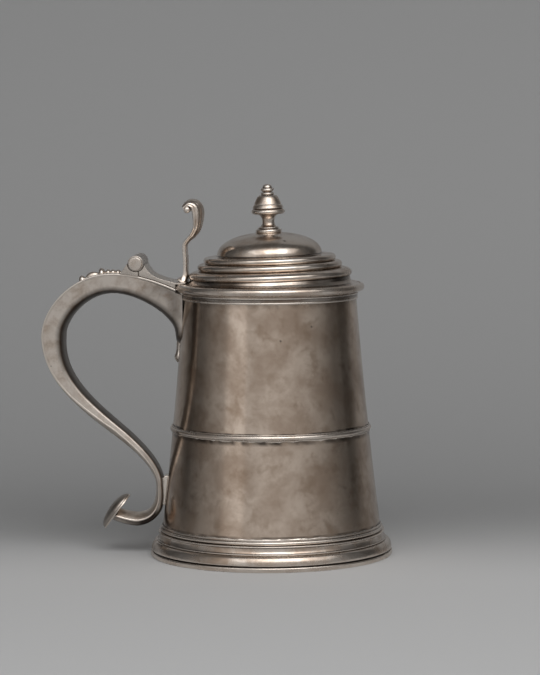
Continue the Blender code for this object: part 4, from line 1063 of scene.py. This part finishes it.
class TANKARD_OT_hinge(bpy.types.Operator):
    """Form the leaf on the handle, the five knuckles and the caps at their ends"""

    bl_idname = "tankard.hinge"
    bl_label = "Hinge"

    def execute(self, context):
        sizes = context.scene.tankard_hinge
        stations = handle_stations(context.scene.tankard_handle)
        bore = half_width("hinge_pin", 2) + SEAM / 4
        for i in range(5):
            node = f"hinge_knuckle_{i + 1}"
            half = half_width(node, 1)
            form = turned(ring_outline(bore, KNUCKLE_RADIUS, -half, half, 0.4 * MM), SMALL_STEPS)
            along_y(form, middle(node) - AXIS)
            rider = ("mug", "lid")[i % 2]
            finish(f"knuckle_{i + 1}", form, "cast_silver", rider, [node], tarnish=0.45)

        thick = 2 * half_width("hinge_cap_near", 1)
        disc = CAP_SHARE * KNUCKLE_RADIUS
        outline = [(0, thick * 1.04), (disc * 0.5, thick * 1.03), (disc * 0.93, thick)]
        outline += [(disc, thick * 0.75), (disc, 0), (0, 0)]
        for side, place in (("near", 0), ("far", 1)):
            node = f"hinge_cap_{side}"
            form = turned(soften(outline, 0.2 * MM), SMALL_STEPS, closed=False)
            if place:
                bmesh.ops.rotate(form, verts=form.verts, matrix=Matrix.Rotation(math.pi, 3, "X"))
            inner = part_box(node)[1 - place].y
            along_y(form, Vector((PIVOT.x, inner, PIVOT.z)))
            finish(f"pin_head_{side}", form, "cast_silver", "mug", [node])

        saddle = round_pin(*SADDLE_ARC, 20)
        spots = np.linspace(saddle[-1][0], PIVOT.x - sizes.leaf_length, 12)
        seat = [(x, back_height(x, stations) + SEAM / 4) for x in spots]
        form = slab(saddle + seat, 2 * half_width("hinge_leaf", 1), 0.3 * MM)
        finish("hinge_saddle", form, "cast_silver", "mug", ["hinge_leaf"], tarnish=0.25)
        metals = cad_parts["hinge_pin"].data.materials
        metals.clear()
        metals.append(silver("cast_silver"))
        return {"FINISHED"}


# The lid and what stands on it

STUD_HOLE = 1.75 * MM
LEAN_RISE = 4 * MM  # height above the flange over which the lean sets in


def dome_outline(sizes, wide, tall, base, steps):
    """The dome from near the axis out to its edge."""
    first = math.asin(STUD_HOLE / wide)
    points = []
    for a in np.linspace(first, math.pi / 2, steps + 1):
        lift = (1 - math.sin(a) ** sizes.dome_fullness) ** (1 / sizes.dome_fullness)
        points.append((wide * math.sin(a), base + tall * lift))
    return points


def lean_over(form, lean):
    """Tips what stands above the lid's flange towards the handle, as years of opening have done."""
    pivot = (FLANGE_HEIGHT + 2 * DOME_TOP) / 3
    for corner in form.verts:
        share = clamp((corner.co.z - FLANGE_HEIGHT) / LEAN_RISE)
        tip = math.tan(lean) * share * share * (3 - 2 * share)
        corner.co += Vector((pivot - corner.co.z, 0, corner.co.x)) * tip


class TANKARD_OT_lid(bpy.types.Operator):
    """Raise the stepped and domed lid, with its rim wire, the bezel inside and the finial's washer"""

    bl_idname = "tankard.lid"
    bl_label = "Lid"

    def execute(self, context):
        sizes = context.scene.tankard_lid
        gauge = context.scene.tankard_body.gauge
        inner = LID_RADIUS - sizes.rim_width
        flange = inner - SEAM
        ovolo = LID_RADIUS - sizes.ovolo_set_back
        step = ovolo - sizes.step_set_back
        fillet = step - sizes.fillet_set_back
        dome = fillet - sizes.cove_width
        ovolo_base = FLANGE_HEIGHT + sizes.cavetto_height
        step_base = ovolo_base + sizes.ovolo_height
        step_top = step_base + sizes.step_height
        cove_base = step_top + sizes.fillet_height
        dome_base = cove_base + sizes.cove_height
        cavetto_foot = (ovolo + flange) / 2
        fillet_in, step_in = fillet - sizes.fillet_height / 2, step - sizes.step_height / 2
        ovolo_in = step + gauge / 2

        outline = dome_outline(sizes, dome, DOME_TOP - dome_base, dome_base, 30)
        outline += arc((fillet_in, dome_base), (fillet_in - dome, sizes.cove_height), 202, 270)
        outline += bead((fillet_in, cove_base), (fillet_in, step_top), sizes.fillet_height / 2)[1:]
        outline += bead((step_in, step_top), (step_in, step_base), sizes.step_height / 2)[1:]
        middle_height = ovolo_base + 0.42 * sizes.ovolo_height
        outline += arc((ovolo_in, middle_height), (ovolo - ovolo_in, step_base - middle_height), 90, 0, 16)
        under = 2 * gauge
        outline += arc((ovolo - under, middle_height), (under, middle_height - ovolo_base), 0, -70, 8)[1:]
        hollow = cavetto_foot - ovolo + gauge
        outline += arc((cavetto_foot, ovolo_base), (hollow, sizes.cavetto_height), 190, 270)
        outline += [(flange, FLANGE_HEIGHT), (flange, FLANGE_HEIGHT - gauge)]
        outline += [(cavetto_foot - gauge, FLANGE_HEIGHT - gauge), (ovolo - under, ovolo_base)]
        outline += [(ovolo_in - gauge, step_base - 2 * gauge), (step_in - gauge, step_base)]
        outline += [(fillet_in - gauge, step_top), (dome - gauge, cove_base)]
        outline += dome_outline(sizes, dome - gauge, DOME_TOP - dome_base - gauge, dome_base, 12)[::-1]
        form = hand_turned(outline, corner=0.25 * MM, height=0.05 * MM, wave=16 * MM)
        # Darkens the cavetto under the ovolo: painted shade in the recess, with tarnish.
        darken_with_tarnish_and_shade(form, FLANGE_HEIGHT + 0.2 * MM, ovolo_base + 0.8 * MM, 1, fray=12 * MM)
        lean_over(form, sizes.lean)
        finish("lid_sheet", form, "lid_silver", "lid", ["lid_shell"])

        flat = sizes.rim_width * 0.25
        outline = [(inner, FLANGE_HEIGHT)]
        outline += bead((inner + flat, FLANGE_HEIGHT), (inner + flat, LID_SEAT), sizes.rim_width - flat, 18)
        outline.append((inner, LID_SEAT))
        form = turned(outline)
        unsteady(form, height=0.04 * MM, wave=14 * MM)
        finish("lid_wire", form, "moulded_silver", "lid", ["lid_rim"])

        skirt, seat = BEZEL_LOW + sizes.bezel_depth, LIP_HEIGHT + SEAM
        wide = BEZEL_RADIUS
        narrow = side_radius(LIP_HEIGHT) - gauge - sizes.bezel_play
        outline = [(wide, BEZEL_HIGH), (wide, seat), (narrow, seat), (narrow, skirt), (narrow, BEZEL_LOW)]
        outline += [(narrow - gauge, BEZEL_LOW), (narrow - gauge, BEZEL_HIGH), (wide, BEZEL_HIGH)]
        form = turned(soften(outline, gauge / 3)[:-1])
        finish("lid_bezel_ring", form, "inside_silver", "lid", ["lid_bezel"])

        low, high = (corner.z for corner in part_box("finial_washer"))
        wide = half_width("finial_washer")
        form = turned(ring_outline(STUD_HOLE, wide, low, high, 0.2 * MM), SMALL_STEPS)
        lean_over(form, sizes.lean)
        finish("stud_washer", form, "inside_silver", "lid", ["finial_washer"])
        return {"FINISHED"}


def eased(rows, steps):
    """Rows of numbers with smooth rows put between them."""
    rows = np.array(rows)
    padded = np.vstack([rows[0] * 2 - rows[1], rows, rows[-1] * 2 - rows[-2]])
    smooth = []
    for i in range(1, len(rows)):
        a, b, c, d = padded[i - 1 : i + 3]
        for s in np.linspace(0, 1, steps, endpoint=False):
            curve = a - 2.5 * b + 2 * c - d / 2 + s * (1.5 * (b - c) + (d - a) / 2)
            smooth.append(b + s * ((c - a) / 2 + s * curve))
    return np.vstack([*smooth, rows[-1]])


STEM_ROWS = (  # millimetres ahead, share of the stem's height and splay of the fillet at its foot
    (1.6, -0.02, 1.9),
    (1.6, 0.05, 1.0),
    (1.6, 0.12, 0.5),
    (1.6, 0.22, 0.15),
    (1.5, 0.38, 0.0),
    (1.4, 0.65, 0.0),
    (1.1, 0.9, 0.0),
)
THUMB_ROWS = (  # ahead, up, thickness and width up the scroll, as shares of its own sizes
    (0.15, 0.05, 0.42, 0.74),
    (0.37, 0.15, 0.43, 0.78),
    (0.66, 0.245, 0.56, 0.86),
    (0.9, 0.385, 0.72, 0.95),
    (1.0, 0.585, 0.92, 1.0),
    (0.98, 0.77, 1.05, 1.0),
    (0.79, 0.89, 0.9, 1.0),
    (0.42, 0.925, 0.63, 1.0),
    (0.05, 0.83, 0.43, 1.0),
)
SCROLL_RISE = 8 * MM  # height above the bend over which the reeds and the crown set in
EYE_PLACE = (0.32, 0.785)  # the button's place, as shares of the scroll's step forward and height
STRAP_CROWN, SCROLL_CROWN = 0.25, 0.8  # exponents of the front's roundness
STRAP_BACK = ((-0.45, 0.97), (-0.5, 0.88))  # the back's edge, as shares of thickness and half width


class TANKARD_OT_thumbpiece(bpy.types.Operator):
    """Cut the lid's hinge plate, and cast the scroll thumbpiece that rises from it"""

    bl_idname = "tankard.thumbpiece"
    bl_label = "Thumbpiece"

    def execute(self, context):
        base = self.plate(context)
        sizes = context.scene.tankard_thumbpiece
        thick = sizes.stem_thickness
        stem = -LID_RADIUS + context.scene.tankard_lid.ovolo_set_back - sizes.set_back - thick / 2
        bend = base + sizes.stem_height
        rows = []
        for ahead, up, splay in STEM_ROWS:
            grown = splay * thick
            width = sizes.stem_width + (sizes.foot_width - sizes.stem_width) * splay / STEM_ROWS[0][2]
            rows.append((stem + ahead * MM - grown / 2, base + up * sizes.stem_height, thick + grown, width))
        for ahead, up, deep, wide in THUMB_ROWS:
            spot = (stem + sizes.scroll_forward * ahead, bend + sizes.scroll_height * up)
            rows.append((*spot, deep * sizes.scroll_thickness, wide * sizes.scroll_width))
        rows = eased(rows, 8)
        rings = []
        for i, (x, z, deep, wide) in enumerate(rows):
            before, after = rows[max(i - 1, 0)], rows[min(i + 1, len(rows) - 1)]
            along = Vector((after[0] - before[0], 0, after[1] - before[1])).normalized()
            front = Vector((along.z, 0, -along.x))
            scrolled = clamp((z - bend) / SCROLL_RISE)
            fluted = sizes.flute_depth * scrolled
            half = []
            for a in np.linspace(0, math.pi / 2, 40):
                wave = fluted * (1 - abs(math.cos(a * sizes.flutes / 2)))
                out = 1 - wave / deep
                crown = math.cos(a) ** (STRAP_CROWN + (SCROLL_CROWN - STRAP_CROWN) * scrolled)
                half.append((deep * (crown * out - 0.5 + 0.1 * (1 - crown)), math.sin(a) * (1 - wave / wide)))
            section = half + [(depth * deep, across) for depth, across in STRAP_BACK]
            section += [(depth, -across) for depth, across in section[:0:-1]]
            place = Vector((x, 0, z))
            ring = [place + front * depth + Vector((0, wide / 2 * across, 0)) for depth, across in section]
            rings.append([Vector((*point.xy, max(point.z, base - SEAM))) for point in ring])
        finish("thumb_scroll", lofted(rings), "cast_silver", "lid", ["thumbpiece"], 50)

        rounding = sizes.eye_radius * 0.6
        end = sizes.scroll_width / 2 - rounding / 2
        outline = arc((0, end), (sizes.eye_radius, rounding), 90, 0)
        outline += arc((0, -end), (sizes.eye_radius, rounding), 0, -90)
        form = turned(outline, SMALL_STEPS, closed=False)
        ahead, up = sizes.scroll_forward * EYE_PLACE[0], sizes.scroll_height * EYE_PLACE[1]
        along_y(form, Vector((stem + ahead, 0, bend + up)))
        finish("thumb_eye", form, "cast_silver", "lid", ["thumbpiece"], 50)
        return {"FINISHED"}

    def plate(self, context):
        """The plate from the lid's knuckles down to the flange; returns the height of its flat."""
        sizes, lid = context.scene.tankard_hinge, context.scene.tankard_lid
        stations = handle_stations(context.scene.tankard_handle)
        hollow = round_pin(*PLATE_ARC, 14)
        half = half_width("lid_hinge_plate", 1)
        edge = -math.sqrt(LID_RADIUS**2 - half**2) - SEAM
        end = -LID_RADIUS + lid.ovolo_set_back - SEAM
        foot = -LID_RADIUS + (lid.ovolo_set_back + lid.rim_width + SEAM) / 2 - SEAM
        rest = FLANGE_HEIGHT + SEAM / 4
        top = rest + sizes.plate_thickness
        upper = []
        for s in np.linspace(0.04, 1, 20):
            lift = (hollow[-1][1] - top) * ((1 - s) ** 6 + (1 - s) ** 1.1) / 2
            upper.append((hollow[-1][0] + (edge - hollow[-1][0]) * s, top + lift))
        spots = np.linspace(edge, hollow[0][0], 10)
        under = [(x, back_height(x, stations) + sizes.swing_gap) for x in spots]
        outline = hollow + upper + [(end, top), (foot, rest), (edge, rest)] + under
        form = slab(outline, 2 * half, 0.5 * MM, 4)
        finish("lid_plate", form, "cast_silver", "lid", ["lid_hinge_plate"], tarnish=0.2)
        return top


class TANKARD_OT_finial(bpy.types.Operator):
    """Turn the finial: a knob and two thin rings on a bell, a waisted stem and the ring that it stands on"""

    bl_idname = "tankard.finial"
    bl_label = "Finial"

    def execute(self, context):
        sizes = context.scene.tankard_finial
        line = 0.35 * MM
        knob_top = FINIAL_TOP - sizes.nub_height
        collar = knob_top - sizes.knob_height
        shoulder = collar - sizes.collar_height
        bell = shoulder - sizes.bell_height
        under = bell - sizes.flange_height
        base = DOME_TOP - SEAM
        ring = base + sizes.ring_height
        waist = (under + ring) / 2

        outline = arc((0, knob_top), (sizes.nub_radius, sizes.nub_height), 90, 0)
        knob = (0, (knob_top + collar) / 2)
        outline += arc(knob, (sizes.knob_radius, sizes.knob_height / 2), 45, -60)
        edge = sizes.collar_radius - line
        outline += bead((edge, collar), (edge, shoulder + line), line) + [(edge, shoulder)]
        top, low = Vector((sizes.shoulder_radius, shoulder - line)), Vector((sizes.bell_radius, bell))
        outline.append((top.x - line, shoulder))
        ridge = top.lerp(low, 0.7)
        outline += bead(top, ridge, line)
        outline += bead(ridge, low, line / 2)
        edge = sizes.bell_radius - 2 * line
        proud = sizes.flange_radius - edge + line
        outline += bead((edge, bell - line), (edge - 2 * line, under + line), proud)
        outline.append((1.6 * sizes.neck_radius, under))
        drop = under - waist - line
        outline += arc((1.6 * sizes.neck_radius, waist), (0.6 * sizes.neck_radius, drop), 100, 180)
        flare = 0.78 * sizes.ring_radius
        outline += arc((flare, waist), (flare - sizes.neck_radius, waist - ring - 3 * line), 184, 268)
        outline += bead((flare, ring + 3 * line), (flare, ring + line), line)
        outline += [(flare - line, ring), (sizes.ring_radius - 3 * line, ring)]
        outline += bead((sizes.ring_radius - 2 * line, ring), (sizes.ring_radius - line, base), 2 * line)
        stud, end = STUD_HOLE - 0.15 * MM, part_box("finial")[0].z
        outline += [(stud, base), (stud, end), (0, end)]
        form = turned(soften(outline, 0.18 * MM), SMALL_STEPS, closed=False)
        lean_over(form, context.scene.tankard_lid.lean)
        finish("finial_bell", form, "cast_silver", "lid", ["finial"])
        return {"FINISHED"}


# The stage, in metres

PAPER_FRONT, PAPER_BEND, PAPER_RADIUS, PAPER_TOP, PAPER_HALF = -2.6, 0.2, 0.35, 1.6, 2.2
LAMPS = (  # name, size, place and the point that it faces
    ("top_light", (3.0, 1.5), (0.3, -1.0, 1.3), (0.03, 0, 0.15)),
    ("key_light", (1.2, 1.0), (0.36, -1.05, 1.2), (0.03, 0, 0.15)),
    ("side_light", (0.9, 1.6), (-1.17, -1.5, 0.8), (0.03, 0, 0.2)),
)


def matte(name, near, far):
    """Matte paper, paler under the tankard than behind it, in shade at both sides and clear from its back."""
    material, tree = new_material(name)
    place = add(tree, "ShaderNodeTexCoord", output="Object")
    across, away = (add(tree, "ShaderNodeSeparateXYZ", {0: place}, axis) for axis in "XY")
    behind = ranged(tree, away, -0.1, 0.16, kind="SMOOTHSTEP")
    shaded = ranged(tree, reckon(tree, "ABSOLUTE", across), 0.4, 1.0, 0, 0.75, "SMOOTHSTEP")
    shade = reckon(tree, "MULTIPLY", shaded, behind)
    tone = blend(tree, shade, blend(tree, behind, (*near, 1), far), (0, 0, 0))
    paper = add(tree, "ShaderNodeBsdfPrincipled", {"Base Color": tone, "Roughness": 0.9})
    clear = add(tree, "ShaderNodeBsdfTransparent")
    back = add(tree, "ShaderNodeNewGeometry", output="Backfacing")
    shader = add(tree, "ShaderNodeMixShader", {0: back, 1: paper, 2: clear})
    add(tree, "ShaderNodeOutputMaterial", {"Surface": shader})
    return material


def lamp(name, power, size, place, target):
    """A soft box of this size, facing its target."""
    data = bpy.data.lights.new(name, "AREA")
    data.shape = "RECTANGLE"
    data.size, data.size_y = size
    data.energy = power
    box = bpy.data.objects.new(name, data)
    box.location = place
    box.rotation_euler = (Vector(target) - Vector(place)).to_track_quat("-Z", "Y").to_euler()
    bpy.context.scene.collection.objects.link(box)


class TANKARD_OT_stage(bpy.types.Operator):
    """Set up the paper sweep, the soft lamps and the camera"""

    bl_idname = "tankard.stage"
    bl_label = "Stage"

    def execute(self, context):
        sizes = context.scene.tankard_stage
        self.paper(sizes)
        for name, size, place, target in LAMPS:
            lamp(name, getattr(sizes, name), size, place, target)
        self.room(context.scene, sizes)
        context.scene.view_settings.view_transform = "Standard"
        self.camera(context.scene, sizes)
        return {"FINISHED"}

    def paper(self, sizes):
        form = bmesh.new()
        bend = arc((PAPER_BEND, PAPER_RADIUS), (PAPER_RADIUS, PAPER_RADIUS), -90, 0, 24)
        outline = [(PAPER_FRONT, 0.0)] + bend + [(PAPER_BEND + PAPER_RADIUS, PAPER_TOP)]
        corners = [form.verts.new((-PAPER_HALF, y, z)) for y, z in outline]
        edges = [form.edges.new(pair) for pair in zip(corners, corners[1:])]
        pull(form, bmesh.ops.extrude_edge_only(form, edges=edges), (2 * PAPER_HALF, 0, 0))
        form.normal_update()
        turned_away = [face for face in form.faces if face.normal.z - face.normal.y < 0]
        bmesh.ops.reverse_faces(form, faces=turned_away)
        sweep = placed("paper_sweep", form, matte("grey_paper", sizes.floor, sizes.wall))

    def room(self, scene, sizes):
        """The studio round the tankard: pale on the camera's side and dim behind."""
        world = scene.world or bpy.data.worlds.new("studio")
        scene.world = world
        world.use_nodes = True
        tree = world.node_tree
        tree.nodes.clear()
        way = add(tree, "ShaderNodeTexCoord", output="Generated")
        ahead = add(tree, "ShaderNodeSeparateXYZ", {0: way}, "Y")
        level = ranged(tree, ahead, 0, -1, sizes.room_back, sizes.room_front)
        glow = add(tree, "ShaderNodeBackground", {"Color": (1, 1, 1, 1), "Strength": level})
        add(tree, "ShaderNodeOutputWorld", {"Surface": glow})

    def camera(self, scene, sizes):
        """Stands in front of the body, a little to the right, and looks down at it slightly."""
        aside = Matrix.Rotation(sizes.camera_turn, 3, "Z")
        place = AXIS + aside @ Vector((0, -sizes.camera_distance, sizes.camera_height))
        target = AXIS + aside @ Vector((0, 0, sizes.target_height))
        view = bpy.data.cameras.new("camera")
        view.lens, view.sensor_width = sizes.lens, 36
        eye = bpy.data.objects.new("camera", view)
        look = (target - place).to_track_quat("-Z", "Y").to_matrix()
        look = (look @ Matrix.Rotation(sizes.camera_roll, 3, "Z")).to_4x4()
        eye.matrix_world = Matrix.Translation(place) @ look
        scene.collection.objects.link(eye)
        scene.camera = eye


# The panel and the run

OPERATORS = (
    TANKARD_OT_body,
    TANKARD_OT_foot,
    TANKARD_OT_wires,
    TANKARD_OT_handle,
    TANKARD_OT_mounts,
    TANKARD_OT_terminal,
    TANKARD_OT_hinge,
    TANKARD_OT_lid,
    TANKARD_OT_thumbpiece,
    TANKARD_OT_finial,
    TANKARD_OT_stage,
)


class TANKARD_PT_pieces(bpy.types.Panel):
    """Lists the tankard's pieces"""

    bl_idname = "TANKARD_PT_pieces"
    bl_label = "Silver Tankard"
    bl_space_type = "VIEW_3D"
    bl_region_type = "UI"
    bl_category = "Tankard"

    def draw(self, context):
        for operator in OPERATORS:
            self.layout.operator(operator.bl_idname)


def register():
    for cls in (*GROUPS.values(), *OPERATORS, TANKARD_PT_pieces):
        bpy.utils.register_class(cls)
    for name, group in GROUPS.items():
        setattr(bpy.types.Scene, name, PointerProperty(type=group))


def unregister():
    for name in GROUPS:
        delattr(bpy.types.Scene, name)
    for cls in (TANKARD_PT_pieces, *reversed(OPERATORS), *reversed(GROUPS.values())):
        bpy.utils.unregister_class(cls)


def main():
    register()
    for operator in OPERATORS:
        group, name = operator.bl_idname.split(".")
        result = getattr(getattr(bpy.ops, group), name)()
        if result != {"FINISHED"}:
            raise RuntimeError(f"{operator.bl_label} wasn't finished")


if __name__ == "__main__":
    main()
